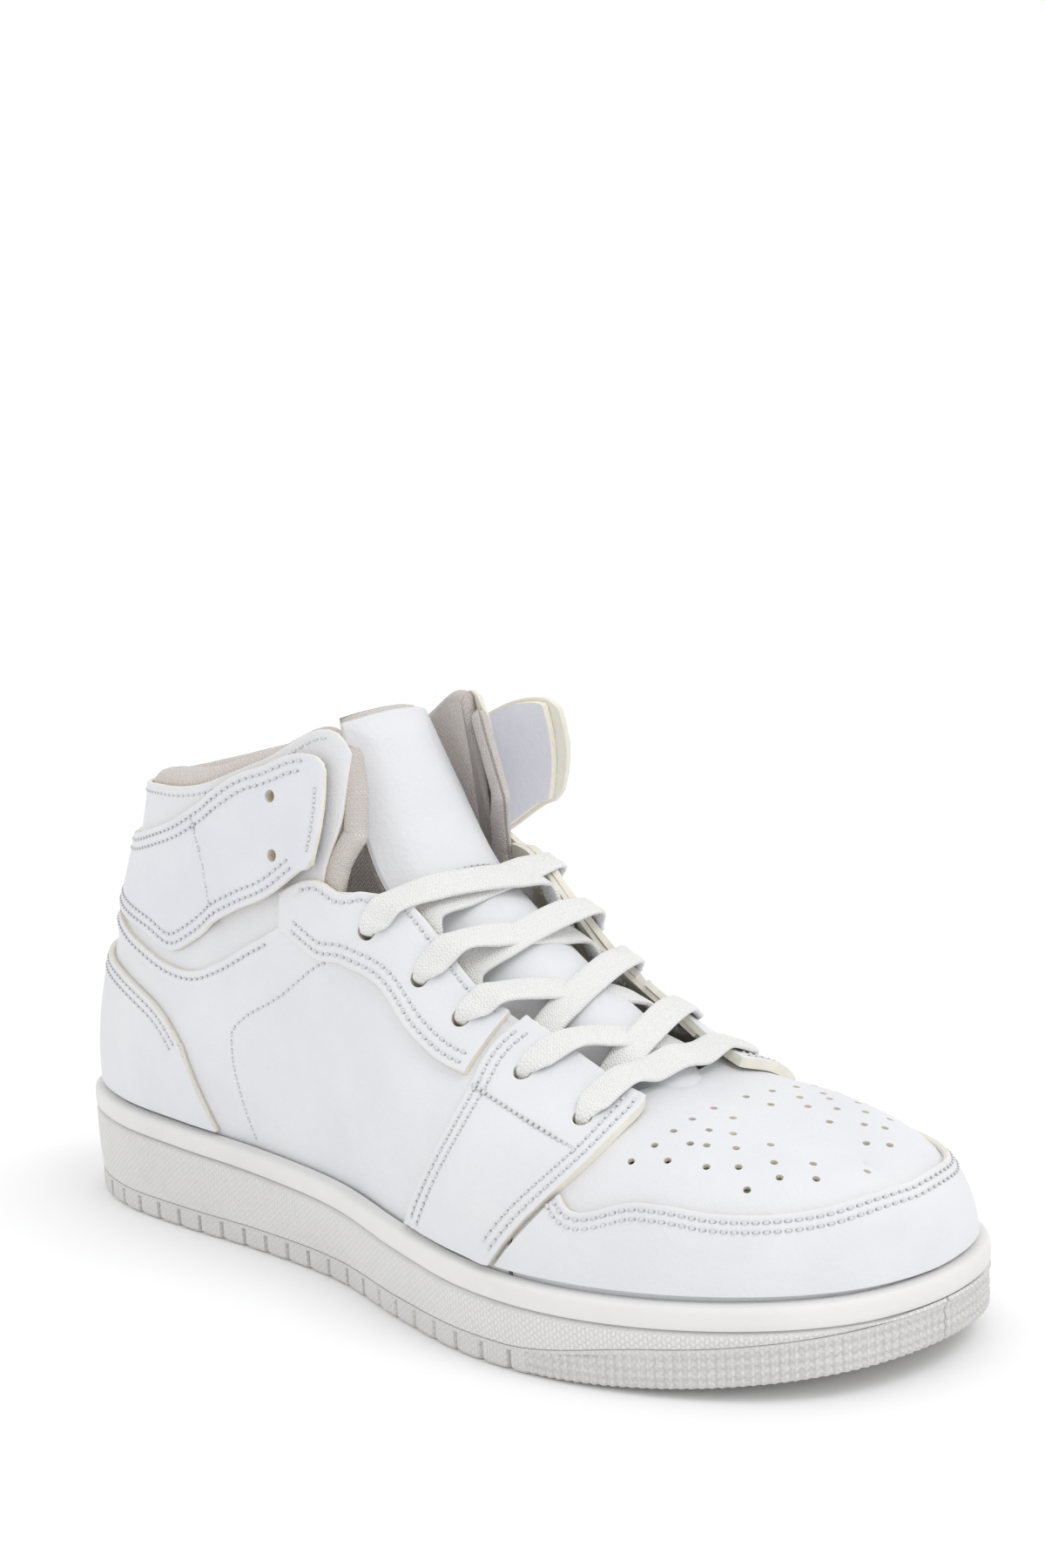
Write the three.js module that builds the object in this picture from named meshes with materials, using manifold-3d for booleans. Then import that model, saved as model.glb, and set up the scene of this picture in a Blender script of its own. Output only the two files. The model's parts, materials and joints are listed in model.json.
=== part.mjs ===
// A high-top basketball shoe for the right foot: cup sole, layered upper, ankle straps, tongue and lace.
// Millimetres, +Z up, toe towards -Y, heel towards +Y, lateral side towards -X.
// The upper is drawn on one skin: s runs along the sole edge from the toe (0) to the heel (1), and
// t runs up the side from the sole edge (0) to the top line (1). Each panel is a region of (s, t).
import * as THREE from "three";
import { mergeVertices } from "three/addons/utils/BufferGeometryUtils.js";
import Module from "manifold-3d";

const wasm = await Module();
wasm.setup();

// ---- Driving sizes ----
const LENGTH = 300; // sole, heel to toe
const WIDTH = 110.6; // sole, at the ball
const ANKLE_HEIGHT = 120; // from the rim of the sole to the front of the collar
const HEEL_HEIGHT = 32.6; // sole rim above the ground at the heel
const WAIST_HEIGHT = 26.3; // sole rim in the middle
const TOE_HEIGHT = 24.5; // sole rim at the toe
const TOE_SPRING = 7.4; // lift of the sole's toe
const HEEL_SPRING = 2; // lift of the sole's heel edge
const TREAD = 6.6; // height of the outsole's edge blocks
const TOE_WRAP = 10.5; // height of the outsole at the toe
const TREAD_PLATE = 4; // outsole inside its edge
const EDGE_LIP = 2.4; // width of the outsole's raised edge
const CUP_WALL = 3.6; // wall of the sole's cup
const CUP_FLOOR = 2.5; // floor of the sole's cup
const RIM_BAND = 6; // smooth band round the top of the cup
const LEATHER = 1.4; // upper leather
const OVERLAY = 1.5; // leather laid over the upper
const STIFFENER = 1.3; // toe puff and heel counter
const LINING = 1.2;
const COLLAR_FOAM = 6; // padding round the ankle
const BOARD = 1.5; // insole board
const SOCKLINER = 3.6;
const FOAM_HEEL = 17; // midsole foam at the heel
const FOAM_TOE = 2; // midsole foam at the toe
const TONGUE_FACE = 1.3;
const TONGUE_FOAM = 4;
const STRAP_BACKING = 1.3;
const LACE_WIDTH = 8.4;
const LACE_THICK = 1.8;
const EYELET = 5; // bore of a lace hole
const STRAP_HOLE = 3.4; // bore of a hole in a strap
const GAP = 0.45; // between one layer and the next
const SEAM = 0.7; // between two panels of one layer
const HINGE_GAP = 0.95; // between a fold's two halves

// ---- Colours ----
const WHITE_LEATHER = 0xeeeff2;
const SOLE_RUBBER = 0xe1dfdc;
const KNIT = 0xd8ccc6;
const FELT = 0xece7dc;
const LACE_WHITE = 0xf4f4f0;

const group = new THREE.Group();
const SIDES = [
  [-1, "lateral"],
  [1, "medial"],
];

// ---- Interpolation ----
// A smooth curve through values (numbers or arrays) at rising knots.
function spline(knots, values) {
  const rows = values.map((v) => (Array.isArray(v) ? v : [v]));
  const last = knots.length - 1;
  const width = (i) => knots[i + 1] - knots[i];
  const slope = rows.slice(1).map((r, i) => r.map((v, k) => (v - rows[i][k]) / width(i)));
  const tangent = rows.map((r, i) =>
    r.map((_, k) => {
      if (i === 0 || i === last) return null;
      const a = width(i - 1);
      const b = width(i);
      return (slope[i - 1][k] * b + slope[i][k] * a) / (a + b);
    }),
  );
  rows[0].forEach((_, k) => {
    tangent[0][k] = last > 1 ? 1.5 * slope[0][k] - 0.5 * tangent[1][k] : slope[0][k];
    tangent[last][k] = last > 1 ? 1.5 * slope[last - 1][k] - 0.5 * tangent[last - 1][k] : slope[0][k];
  });
  return (x) => {
    const c = Math.min(Math.max(x, knots[0]), knots[last]);
    let i = 0;
    while (i < last - 1 && c > knots[i + 1]) i++;
    const h = width(i);
    const u = (c - knots[i]) / h;
    const out = rows[i].map((p, k) => {
      const q = rows[i + 1][k];
      const near = (1 + 2 * u) * (1 - u) ** 2 * p + u * (1 - u) ** 2 * h * tangent[i][k];
      return near + u * u * (3 - 2 * u) * q + u * u * (u - 1) * h * tangent[i + 1][k];
    });
    return Array.isArray(values[0]) ? out : out[0];
  };
}
const mix = (a, b, u) => a + (b - a) * u;
const steps = (from, to, count) => Array.from({ length: count + 1 }, (_, i) => mix(from, to, i / count));
const mirrored = (row) => [...row.slice(1).reverse().map((u) => -u), ...row];

// ---- Sole outline ----
// Points of each side from toe to heel: shares of half the width and half the length.
const LATERAL = [
  [-0.225, -0.973],
  [-0.47, -0.913],
  [-0.69, -0.813],
  [-0.867, -0.68],
  [-0.98, -0.52],
  [-0.996, -0.333],
  [-0.89, -0.133],
  [-0.72, 0.1],
  [-0.67, 0.333],
  [-0.674, 0.567],
  [-0.635, 0.767],
  [-0.481, 0.907],
  [-0.26, 0.973],
];
const MEDIAL = [
  [0.535, -0.973],
  [0.765, -0.913],
  [0.925, -0.813],
  [0.995, -0.68],
  [0.982, -0.52],
  [0.88, -0.333],
  [0.75, -0.133],
  [0.636, 0.1],
  [0.655, 0.333],
  [0.709, 0.567],
  [0.682, 0.767],
  [0.528, 0.907],
  [0.313, 0.973],
];
const TOE_TIP = [0.147, -1];
const HEEL_TIP = [0.042, 1];
const FOOT_AXIS = 0.042 * (WIDTH / 2); // the foot's centre line, from the middle of the sole

const loop = [TOE_TIP, ...LATERAL, HEEL_TIP, ...[...MEDIAL].reverse()].map(
  ([x, y]) => new THREE.Vector3((x * WIDTH) / 2, (y * LENGTH) / 2, 0),
);
const outlineCurve = new THREE.CatmullRomCurve3(loop, true, "centripetal");
outlineCurve.arcLengthDivisions = 1200;
const PERIMETER = outlineCurve.getLength();
const heelShare = (() => {
  const at = (u) => outlineCurve.getPointAt(u).y;
  return steps(0.4, 0.6, 400).reduce((best, u) => (at(u) > at(best) ? u : best), 0.5);
})();

// The outline at share s of one side, with the outward direction there.
function outline(side, s) {
  const u = side < 0 ? s * heelShare : 1 - s * (1 - heelShare);
  const point = outlineCurve.getPointAt((u + 1) % 1);
  const e = 0.002;
  const ahead = outlineCurve.getPointAt((u + e + 1) % 1);
  const behind = outlineCurve.getPointAt((u - e + 1) % 1);
  const along = ahead.sub(behind).normalize();
  return { point, out: new THREE.Vector3(-along.y, along.x, 0) };
}

// ---- Heights of the sole ----
const half = LENGTH / 2;
const BALL_HEIGHT = (TOE_HEIGHT + WAIST_HEIGHT) / 2 - 2.4;
const ARCH_HEIGHT = (WAIST_HEIGHT + HEEL_HEIGHT) / 2 + 0.4;
const rimCurve = spline(
  [-1, -0.5, 0, 0.5, 1],
  [TOE_HEIGHT, BALL_HEIGHT, WAIST_HEIGHT, ARCH_HEIGHT, HEEL_HEIGHT],
);
const rimHeight = (y) => rimCurve(y / half);
const TOE_BREAK = -0.44; // where the sole's toe starts to lift, in half lengths
const HEEL_BREAK = 0.84;
function groundHeight(y) {
  const toe = Math.max((TOE_BREAK - y / half) / (TOE_BREAK + 1), 0);
  const heel = Math.max((y / half - HEEL_BREAK) / (1 - HEEL_BREAK), 0);
  return TOE_SPRING * toe ** 2 + HEEL_SPRING * heel ** 2;
}
const { smoothstep } = THREE.MathUtils;
const edgeHeight = (y) => mix(TREAD, TOE_WRAP, smoothstep(-y / half, 0.42, 0.7));
const treadTop = (y) => groundHeight(y) + edgeHeight(y);

// ---- The upper's skin ----
const THROAT_END = 0.28; // s of the throat's front end, where the top line leaves the centre line
// Top line: half gap across the foot, share of half length, share of ankle height above the waist rim.
const topGap = spline(
  [0.28, 0.36, 0.44, 0.5, 0.54, 0.57, 0.64, 0.71, 0.82, 0.91, 1],
  [0, 9, 15, 20, 24, 26, 33, 36.5, 32, 19, 0],
);
const topRun = spline(
  [0, 0.1, 0.2, 0.28, 0.36, 0.44, 0.5, 0.54, 0.57, 0.64, 0.71, 0.82, 0.91, 1],
  [-0.787, -0.707, -0.607, -0.52, -0.36, -0.18, -0.02, 0.067, 0.113, 0.267, 0.413, 0.6, 0.72, 0.767],
);
const topRise = spline(
  [0, 0.1, 0.2, 0.28, 0.36, 0.44, 0.5, 0.54, 0.57, 0.64, 0.71, 0.82, 0.91, 1],
  [0.189, 0.223, 0.26, 0.293, 0.439, 0.598, 0.764, 0.906, 0.989, 0.927, 0.864, 0.839, 0.823, 0.818],
);
// How far the skin swells out from a straight line between its two edges, at a third and two thirds.
const SWELL_KNOTS = [0, 0.12, 0.28, 0.4, 0.5, 0.6, 0.72, 0.85, 1];
const swellLow = spline(SWELL_KNOTS, [10, 13, 14.5, 11, 8, 5, 3, 3, 5]);
const swellHigh = spline(SWELL_KNOTS, [8, 11, 12.5, 8, 7, 4, 1, 1, 3]);
const MEDIAL_RISE = 3; // the medial side of the collar stands this much higher at its front
const DRAWN_WIDTH = 110.6; // the width at which the sizes across the foot below were drawn
const widthScale = WIDTH / DRAWN_WIDTH;

function topLine(side, s) {
  const toeShift = (4 * Math.max(THROAT_END - s, 0)) / THROAT_END;
  const x = s < THROAT_END ? toeShift : side * topGap(s) * widthScale;
  const extra = side > 0 ? MEDIAL_RISE * Math.exp(-(((s - 0.57) / 0.07) ** 2)) : 0;
  const z = WAIST_HEIGHT + topRise(s) * ANKLE_HEIGHT + extra;
  return new THREE.Vector3(x + FOOT_AXIS, topRun(s) * half, z);
}

function skinPoint(side, s, t) {
  const { point, out } = outline(side, s);
  const low = point.clone().addScaledVector(out, -(CUP_WALL + SEAM));
  low.z = rimHeight(point.y) + 0.5;
  const chord = topLine(side, s).sub(low);
  const dir = chord.clone().normalize();
  const swell = out.clone().setZ(0.6);
  swell.addScaledVector(dir, -swell.dot(dir)).normalize();
  // A cubic that is 0 at both edges and reaches the two swells at a third and two thirds.
  const a = swellLow(s) * 4.5;
  const b = swellHigh(s) * 4.5;
  const amount = t * (1 - t) * (2 * a - b + 3 * (b - a) * t);
  return low.addScaledVector(chord, t).addScaledVector(swell, amount);
}

function sideNormal(side, s, t) {
  const e = 0.004;
  const s0 = Math.max(s - e, 0);
  const s1 = Math.min(s + e, 1);
  const t1 = Math.min(t + e, 1);
  const along = skinPoint(side, s1, t).sub(skinPoint(side, s0, t));
  const up = skinPoint(side, s, t1).sub(skinPoint(side, s, t1 - 2 * e));
  return along.cross(up).multiplyScalar(side).normalize();
}

// The outward direction. It turns smoothly through the centre plane at the toe and the heel, and
// along the top of the toe it is the mean of the two sides' directions, so that the sides join.
const BLEND_SHARE = 0.03;
function skinNormal(side, s, t) {
  const mean = (at, up) => sideNormal(-1, at, up).add(sideNormal(1, at, up)).normalize();
  if (t > 1 - 1e-6 && s < THROAT_END) return mean(s, 1);
  const nearest = s < 0.5 ? 0 : 1;
  const share = Math.abs(s - nearest) / BLEND_SHARE;
  if (share >= 1) return sideNormal(side, s, t);
  return mean(nearest, t).lerp(sideNormal(side, s, t), share).normalize();
}
const skinAt = (side, s, t, offset) => skinPoint(side, s, t).addScaledVector(skinNormal(side, s, t), offset);

// ---- Solids ----
function meshFromFaces(name, points, triangles, colour, roughness) {
  const geometry = new THREE.BufferGeometry();
  const coordinates = points.flatMap((p) => [p.x, p.y, p.z]);
  geometry.setAttribute("position", new THREE.Float32BufferAttribute(coordinates, 3));
  geometry.setIndex(triangles);
  const merged = mergeVertices(geometry, 1e-3);
  const index = Array.from(merged.index.array);
  const kept = [];
  for (let i = 0; i < index.length; i += 3) {
    const [a, b, c] = index.slice(i, i + 3);
    if (a !== b && b !== c && c !== a) kept.push(a, b, c);
  }
  merged.setIndex(kept);
  if (signedVolume(merged) < 0) {
    kept.reverse();
    merged.setIndex(kept);
  }
  const material = new THREE.MeshStandardMaterial({ color: colour, roughness, metalness: 0 });
  const mesh = new THREE.Mesh(merged, material);
  mesh.name = name;
  group.add(mesh);
  return mesh;
}

function signedVolume(geometry) {
  const p = geometry.getAttribute("position");
  const index = geometry.index.array;
  const [a, b, c] = [new THREE.Vector3(), new THREE.Vector3(), new THREE.Vector3()];
  let sum = 0;
  for (let i = 0; i < index.length; i += 3) {
    a.fromBufferAttribute(p, index[i]);
    b.fromBufferAttribute(p, index[i + 1]);
    c.fromBufferAttribute(p, index[i + 2]);
    sum += a.dot(b.cross(c));
  }
  return sum;
}

// A sheet with thickness: at(u, v, face) gives its inner (0) and outer (1) face over a grid.
// With folded set, the first row is two halves that lie on each other, and it gets no edge wall.
function sheet(name, us, vs, at, colour, roughness = 0.6, folded = false) {
  const points = [];
  const cols = vs.length;
  for (const face of [0, 1]) for (const u of us) for (const v of vs) points.push(at(u, v, face));
  const layer = us.length * cols;
  const id = (i, j, face) => face * layer + i * cols + j;
  const triangles = [];
  const quad = (a, b, c, d) => triangles.push(a, b, c, a, c, d);
  for (let i = 0; i < us.length - 1; i++)
    for (let j = 0; j < cols - 1; j++) {
      quad(id(i, j, 1), id(i + 1, j, 1), id(i + 1, j + 1, 1), id(i, j + 1, 1));
      quad(id(i, j, 0), id(i, j + 1, 0), id(i + 1, j + 1, 0), id(i + 1, j, 0));
    }
  const wall = (i, j, k, l) => quad(id(i, j, 0), id(k, l, 0), id(k, l, 1), id(i, j, 1));
  for (let i = 0; i < us.length - 1; i++) {
    wall(i, 0, i + 1, 0);
    wall(i + 1, cols - 1, i, cols - 1);
  }
  for (let j = 0; j < cols - 1; j++) {
    if (!folded) wall(0, j + 1, 0, j);
    wall(us.length - 1, j, us.length - 1, j + 1);
  }
  return meshFromFaces(name, points, triangles, colour, roughness);
}

// A panel of the upper on one side, between two offsets from the skin.
function panel(name, side, us, vs, region, inner, outer, colour, roughness) {
  const at = (u, v, face) => {
    const [s, t] = region(u, v);
    const offset = face ? outer : inner;
    return skinAt(side, s, t, typeof offset === "function" ? offset(s, t) : offset);
  };
  return sheet(name, us, vs, at, colour, roughness);
}

// A panel that wraps round the toe or the heel, from its lateral end (u = -1) to its medial end (1).
function wrapPanel(name, us, vs, region, inner, outer, colour, roughness) {
  const at = (u, v, face) => {
    const [s, t] = region(Math.abs(u), v);
    const offset = face ? outer : inner;
    return skinAt(u < 0 ? -1 : 1, s, t, typeof offset === "function" ? offset(s, t) : offset);
  };
  return sheet(name, us, vs, at, colour, roughness);
}

// A panel over the toe: v runs across from the lateral edge (-1) over the centre line (0) to the
// medial edge (1).
function domePanel(name, us, vs, region, inner, outer, colour, roughness) {
  const at = (u, v, face) => {
    const [s, t] = region(u, 1 - Math.abs(v));
    return skinAt(v < 0 ? -1 : 1, s, t, face ? outer : inner);
  };
  return sheet(name, us, vs, at, colour, roughness, true);
}

function toSolid(mesh) {
  const vertProperties = Float32Array.from(mesh.geometry.getAttribute("position").array);
  const triVerts = Uint32Array.from(mesh.geometry.index.array);
  return new wasm.Manifold(new wasm.Mesh({ numProp: 3, vertProperties, triVerts }));
}

// Cuts eight-sided bores through a mesh along the skin's normal.
function bore(mesh, side, holes, diameter) {
  let solid = toSolid(mesh);
  for (const [s, t] of holes) {
    const drill = new THREE.CylinderGeometry(diameter / 2, diameter / 2, 16, 8).toNonIndexed();
    drill.deleteAttribute("normal");
    drill.deleteAttribute("uv");
    const upright = new THREE.Vector3(0, 1, 0);
    drill.applyQuaternion(new THREE.Quaternion().setFromUnitVectors(upright, skinNormal(side, s, t)));
    const centre = skinPoint(side, s, t);
    drill.translate(centre.x, centre.y, centre.z);
    solid = solid.subtract(toSolid({ geometry: mergeVertices(drill, 1e-4) }));
  }
  const cut = solid.getMesh();
  const geometry = new THREE.BufferGeometry();
  geometry.setAttribute("position", new THREE.Float32BufferAttribute(Array.from(cut.vertProperties), 3));
  geometry.setIndex(Array.from(cut.triVerts));
  mesh.geometry = geometry;
}

// A solid of rings round the outline, each at its own inset and height. The first and last ring are
// closed by strips from side to side.
function ringSolid(name, shares, rings, colour, roughness) {
  const lateral = shares.map((s) => [-1, s]);
  const medial = shares.slice(1, -1).map((s) => [1, s]);
  const stations = [...lateral, ...medial.reverse()];
  const count = stations.length;
  const points = [];
  for (const ring of rings)
    for (const [side, s] of stations) {
      const { point, out } = outline(side, s);
      const y = point.y;
      const p = point.addScaledVector(out, -ring.inset);
      p.z = ring.height(y);
      points.push(p);
    }
  const triangles = [];
  rings.slice(1).forEach((_, r) => {
    for (let i = 0; i < count; i++) {
      const j = (i + 1) % count;
      const [a, b, c, d] = [r * count + i, r * count + j, (r + 1) * count + j, (r + 1) * count + i];
      triangles.push(a, b, c, a, c, d);
    }
  });
  const cap = (base, flip) => {
    for (let i = 0; i < shares.length - 1; i++) {
      const [a, b] = [i, i + 1];
      const [c, d] = [(count - i - 1) % count, (count - i) % count];
      const faces = [
        [a, c, b],
        [a, d, c],
      ];
      for (const f of faces) triangles.push(...(flip ? [...f].reverse() : f).map((k) => base + k));
    }
  };
  cap(0, false);
  cap((rings.length - 1) * count, true);
  return meshFromFaces(name, points, triangles, colour, roughness);
}

// ---- Bottom unit ----
// Stations round the outline, closer together at the toe and the heel.
const plainShares = steps(0, 1, 26).map((k) => mix(k, (1 - Math.cos(Math.PI * k)) / 2, 0.55));
const plateTop = (y) => groundHeight(y) + TREAD_PLATE;
const cupFloor = (y) => plateTop(y) + GAP + CUP_FLOOR;
const foamTop = (y) => cupFloor(y) + GAP + mix(FOAM_TOE, FOAM_HEEL, (y / half + 1) / 2);

function outsole() {
  const rings = [
    { inset: 2, height: groundHeight },
    { inset: 0.3, height: (y) => groundHeight(y) + 1.6 },
    { inset: 0, height: treadTop },
    { inset: EDGE_LIP, height: treadTop },
    { inset: EDGE_LIP, height: plateTop },
  ];
  ringSolid("outsole", plainShares, rings, SOLE_RUBBER, 0.75);
}

function cup() {
  const groove = (y) => rimHeight(y) - RIM_BAND;
  const rings = [
    { inset: EDGE_LIP + GAP, height: (y) => plateTop(y) + GAP },
    { inset: EDGE_LIP + GAP, height: (y) => treadTop(y) + GAP },
    { inset: 0.3, height: (y) => treadTop(y) + GAP },
    { inset: 0, height: (y) => groove(y) - 0.4 },
    { inset: 0.9, height: groove },
    { inset: 0, height: (y) => groove(y) + 0.8 },
    { inset: 0, height: (y) => rimHeight(y) - 1.2 },
    { inset: 1.4, height: rimHeight },
    { inset: CUP_WALL, height: rimHeight },
    { inset: CUP_WALL, height: cupFloor },
  ];
  ringSolid("midsole_cup", plainShares, rings, SOLE_RUBBER, 0.7);
}

function fillings() {
  const inset = CUP_WALL + GAP;
  const slab = (name, edge, low, high, colour) =>
    ringSolid(
      name,
      plainShares,
      [
        { inset: edge, height: low },
        { inset: edge, height: high },
      ],
      colour,
      0.9,
    );
  const boardTop = (y) => foamTop(y) + GAP + BOARD;
  slab("midsole_foam", inset, (y) => cupFloor(y) + GAP, foamTop, 0xe9e6dc);
  slab("insole_board", inset, (y) => foamTop(y) + GAP, boardTop, 0xdad3c2);
  const linerInset = CUP_WALL + LEATHER + STIFFENER + LINING + 4 * GAP + SEAM;
  const linerTop = (y) => boardTop(y) + GAP + SOCKLINER;
  slab("sockliner", linerInset, (y) => boardTop(y) + GAP, linerTop, KNIT);
  return { linerTop };
}

// ---- Upper panels: edges as (s, t) ----
const LOW = -0.03; // panels start this far below the rim's edge, inside the cup
const OVERLAY_LOW = 0.015; // overlays stop this far above it
const OVERLAY_OUT = GAP + OVERLAY;
const stiffenerOut = -(LEATHER + GAP);
const stiffenerIn = stiffenerOut - STIFFENER;
const liningOut = stiffenerIn - SEAM;
const liningIn = liningOut - LINING;
const seamShare = SEAM / (PERIMETER / 2);

const EYELETS = [
  [0.307, 0.561],
  [0.365, 0.643],
  [0.429, 0.69],
  [0.466, 0.712],
  [0.512, 0.706],
];
const SADDLE_EYELETS = EYELETS.slice(0, 2);
const STAY_EYELETS = EYELETS.slice(2);

// Throat edge of the quarters, and the seam where quarter and collar meet.
const throatEdge = spline(
  [0.28, 0.33, 0.361, 0.396, 0.445, 0.462, 0.486, 0.51, 0.534, 0.552],
  [0.745, 0.785, 0.8, 0.8, 0.805, 0.84, 0.86, 0.81, 0.735, 0.69],
);
const quarterSeam = spline(
  [0.56, 0.619, 0.647, 0.69, 0.727, 0.756, 0.82, 0.886, 1],
  [0.55, 0.548, 0.525, 0.48, 0.452, 0.456, 0.5, 0.54, 0.55],
);
const QUARTER_FRONT = 0.33;
const COLLAR_FRONT = 0.56;
// Stations from the collar's front to the back seam, closer together round the heel.
const heelStations = steps(0, 1, 14).map((k) => mix(COLLAR_FRONT, 1, k * (1.35 - 0.35 * k)));

function vamp() {
  const front = QUARTER_FRONT - seamShare;
  const reach = (t) => mix(front, THROAT_END - 0.006, smoothstep(t, 0.66, 0.8));
  const region = (u, t) => [u * reach(t), mix(LOW, 1, t)];
  const across = steps(-1, 1, 16);
  const along = steps(0, 1, 8);
  const shell = domePanel("vamp", along, across, region, -LEATHER, 0, WHITE_LEATHER);
  for (const [side] of SIDES) bore(shell, side, EYELETS.slice(0, 1), EYELET);
  // The lining ends in front of the tongue and the lowest lace holes.
  const linedReach = (t) => mix(front, 0.2, smoothstep(t, 0.28, 0.48));
  const lined = (u, t) => [u * linedReach(t), mix(LOW, 1, t)];
  domePanel("vamp_lining", steps(0, 1, 5), across, lined, liningIn, liningOut, KNIT, 0.95);
  const puff = (u, t) => [u * 0.2, mix(0.01, 1, t)];
  domePanel("toe_puff", steps(0, 1, 5), across, puff, stiffenerIn, stiffenerOut, FELT, 0.9);
}

function mudguard() {
  const top = spline(
    [0, 0.05, 0.09, 0.13, 0.17, 0.215, 0.24, 0.276, 0.3],
    [0.475, 0.4, 0.325, 0.285, 0.27, 0.28, 0.275, 0.215, 0.28],
  );
  const end = spline([0, 0.09, 0.186, 0.282], [0.346, 0.327, 0.309, 0.295]);
  const region = (u, v) => {
    const t = mix(OVERLAY_LOW, top(u * 0.295), v);
    return [u * (end(t) - seamShare), t];
  };
  wrapPanel("mudguard", steps(-1, 1, 28), steps(0, 1, 3), region, GAP, OVERLAY_OUT, WHITE_LEATHER);
}

function quarters(side, name) {
  const throatStations = steps(QUARTER_FRONT + seamShare, COLLAR_FRONT - 0.008, 9);
  const us = [...throatStations, ...heelStations.slice(0, -1), 1 - seamShare / 2];
  const top = (s) => (s < COLLAR_FRONT - 0.004 ? throatEdge(s) : quarterSeam(s));
  const region = (s, v) => [s, mix(LOW, top(s), v)];
  const shell = panel(`${name}_quarter`, side, us, steps(0, 1, 5), region, -LEATHER, 0, WHITE_LEATHER);
  bore(shell, side, EYELETS.slice(1), EYELET);
  const liningTop = (s) => Math.min(top(s), 0.5) - 0.02;
  const lined = (s, v) => [s, mix(LOW, liningTop(s), v)];
  panel(`${name}_quarter_lining`, side, us, steps(0, 1, 3), lined, liningIn, liningOut, KNIT, 0.95);
}

function saddle(side, name) {
  const rear = spline([0, 0.2, 0.4, 0.62, 0.8, 1], [
    [0.454, 0],
    [0.42, 0.17],
    [0.402, 0.33],
    [0.396, 0.51],
    [0.398, 0.66],
    [0.39, 0.82],
  ]);
  const front = spline([0, 0.2, 0.4, 0.62, 0.8, 1], [
    [0.348, 0],
    [0.322, 0.13],
    [0.297, 0.28],
    [0.281, 0.454],
    [0.277, 0.64],
    [0.283, 0.745],
  ]);
  const region = (u, v) => {
    const [a, b] = [front(v), rear(v)];
    return [mix(a[0], b[0], u), Math.max(mix(a[1], b[1], u) + 0.02 * Math.sin(Math.PI * u) * v, OVERLAY_LOW)];
  };
  const [us, vs] = [steps(0, 1, 4), steps(0, 1, 8)];
  const solid = panel(`${name}_saddle`, side, us, vs, region, GAP, OVERLAY_OUT, WHITE_LEATHER);
  bore(solid, side, SADDLE_EYELETS, EYELET);
}

function eyestay(side, name) {
  const knots = [0, 0.15, 0.32, 0.5, 0.68, 0.84, 1];
  const low = spline(knots, [
    [0.406, 0.548],
    [0.431, 0.54],
    [0.46, 0.56],
    [0.494, 0.612],
    [0.53, 0.57],
    [0.57, 0.51],
    [0.612, 0.57],
  ]);
  const high = spline(knots, [
    [0.402, 0.8],
    [0.43, 0.8],
    [0.459, 0.835],
    [0.49, 0.86],
    [0.52, 0.78],
    [0.548, 0.7],
    [0.612, 0.655],
  ]);
  const region = (u, v) => {
    const [a, b] = [low(u), high(u)];
    return [mix(a[0], b[0], v), mix(a[1], b[1], v)];
  };
  const [us, vs] = [steps(0, 1, 12), steps(0, 1, 3)];
  const solid = panel(`${name}_eyestay`, side, us, vs, region, GAP, OVERLAY_OUT, WHITE_LEATHER);
  bore(solid, side, STAY_EYELETS, EYELET);
}

function heelParts() {
  // The overlay's lower and upper edge from the back seam to its front corners.
  const knots = [0, 0.33, 0.62, 0.85, 1];
  const low = spline(knots, [1, 0.9, 0.82, 0.75, 0.711]);
  const high = spline(knots, [
    [1, 0.44],
    [0.9, 0.435],
    [0.82, 0.398],
    [0.768, 0.33],
    [0.743, 0.25],
  ]);
  const overlay = (u, v) => {
    const [s, t] = high(u);
    return [mix(low(u), s, v), mix(OVERLAY_LOW, t, v)];
  };
  wrapPanel("heel_overlay", steps(-1, 1, 24), steps(0, 1, 4), overlay, GAP, OVERLAY_OUT, WHITE_LEATHER);
  const counter = (u, v) => [1 - u, 0.01 + 0.41 * v];
  const counterRow = mirrored(heelStations.filter((s) => s > 0.74).map((s) => 1 - s).reverse());
  wrapPanel("heel_counter", counterRow, steps(0, 1, 4), counter, stiffenerIn, stiffenerOut, FELT, 0.9);
}

// Collar padding thins out towards its front edges.
const padding = spline([0.56, 0.6, 0.68, 1], [1.4, 3, COLLAR_FOAM, COLLAR_FOAM]);

function collar() {
  const frontEdge = (v) => mix(COLLAR_FRONT + 0.008, 0.553, smoothstep(v, 0.3, 0.7));
  for (const [side, name] of SIDES) {
    const region = (u, v) => {
      const s = mix(frontEdge(v), 1 - seamShare, u);
      return [s, mix(quarterSeam(s) + 0.011, 1, v)];
    };
    panel(`${name}_collar_panel`, side, steps(0, 1, 13), steps(0, 1, 4), region, -LEATHER, 0, WHITE_LEATHER);
  }
  const bowl = (u, v) => {
    const s = mix(1, COLLAR_FRONT + 0.012, u);
    return [s, mix(Math.max(quarterSeam(s), 0.5) + 0.03, 0.985, v)];
  };
  const foamIn = (s) => stiffenerOut - padding(s);
  wrapPanel("collar_foam", steps(-1, 1, 26), steps(0, 1, 3), bowl, foamIn, stiffenerOut, FELT, 0.95);
  const skinIn = (s) => foamIn(s) - GAP - LINING;
  const skinOut = (s) => foamIn(s) - GAP;
  wrapPanel("collar_lining", steps(-1, 1, 26), steps(0, 1, 3), bowl, skinIn, skinOut, KNIT, 0.95);
}

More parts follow.
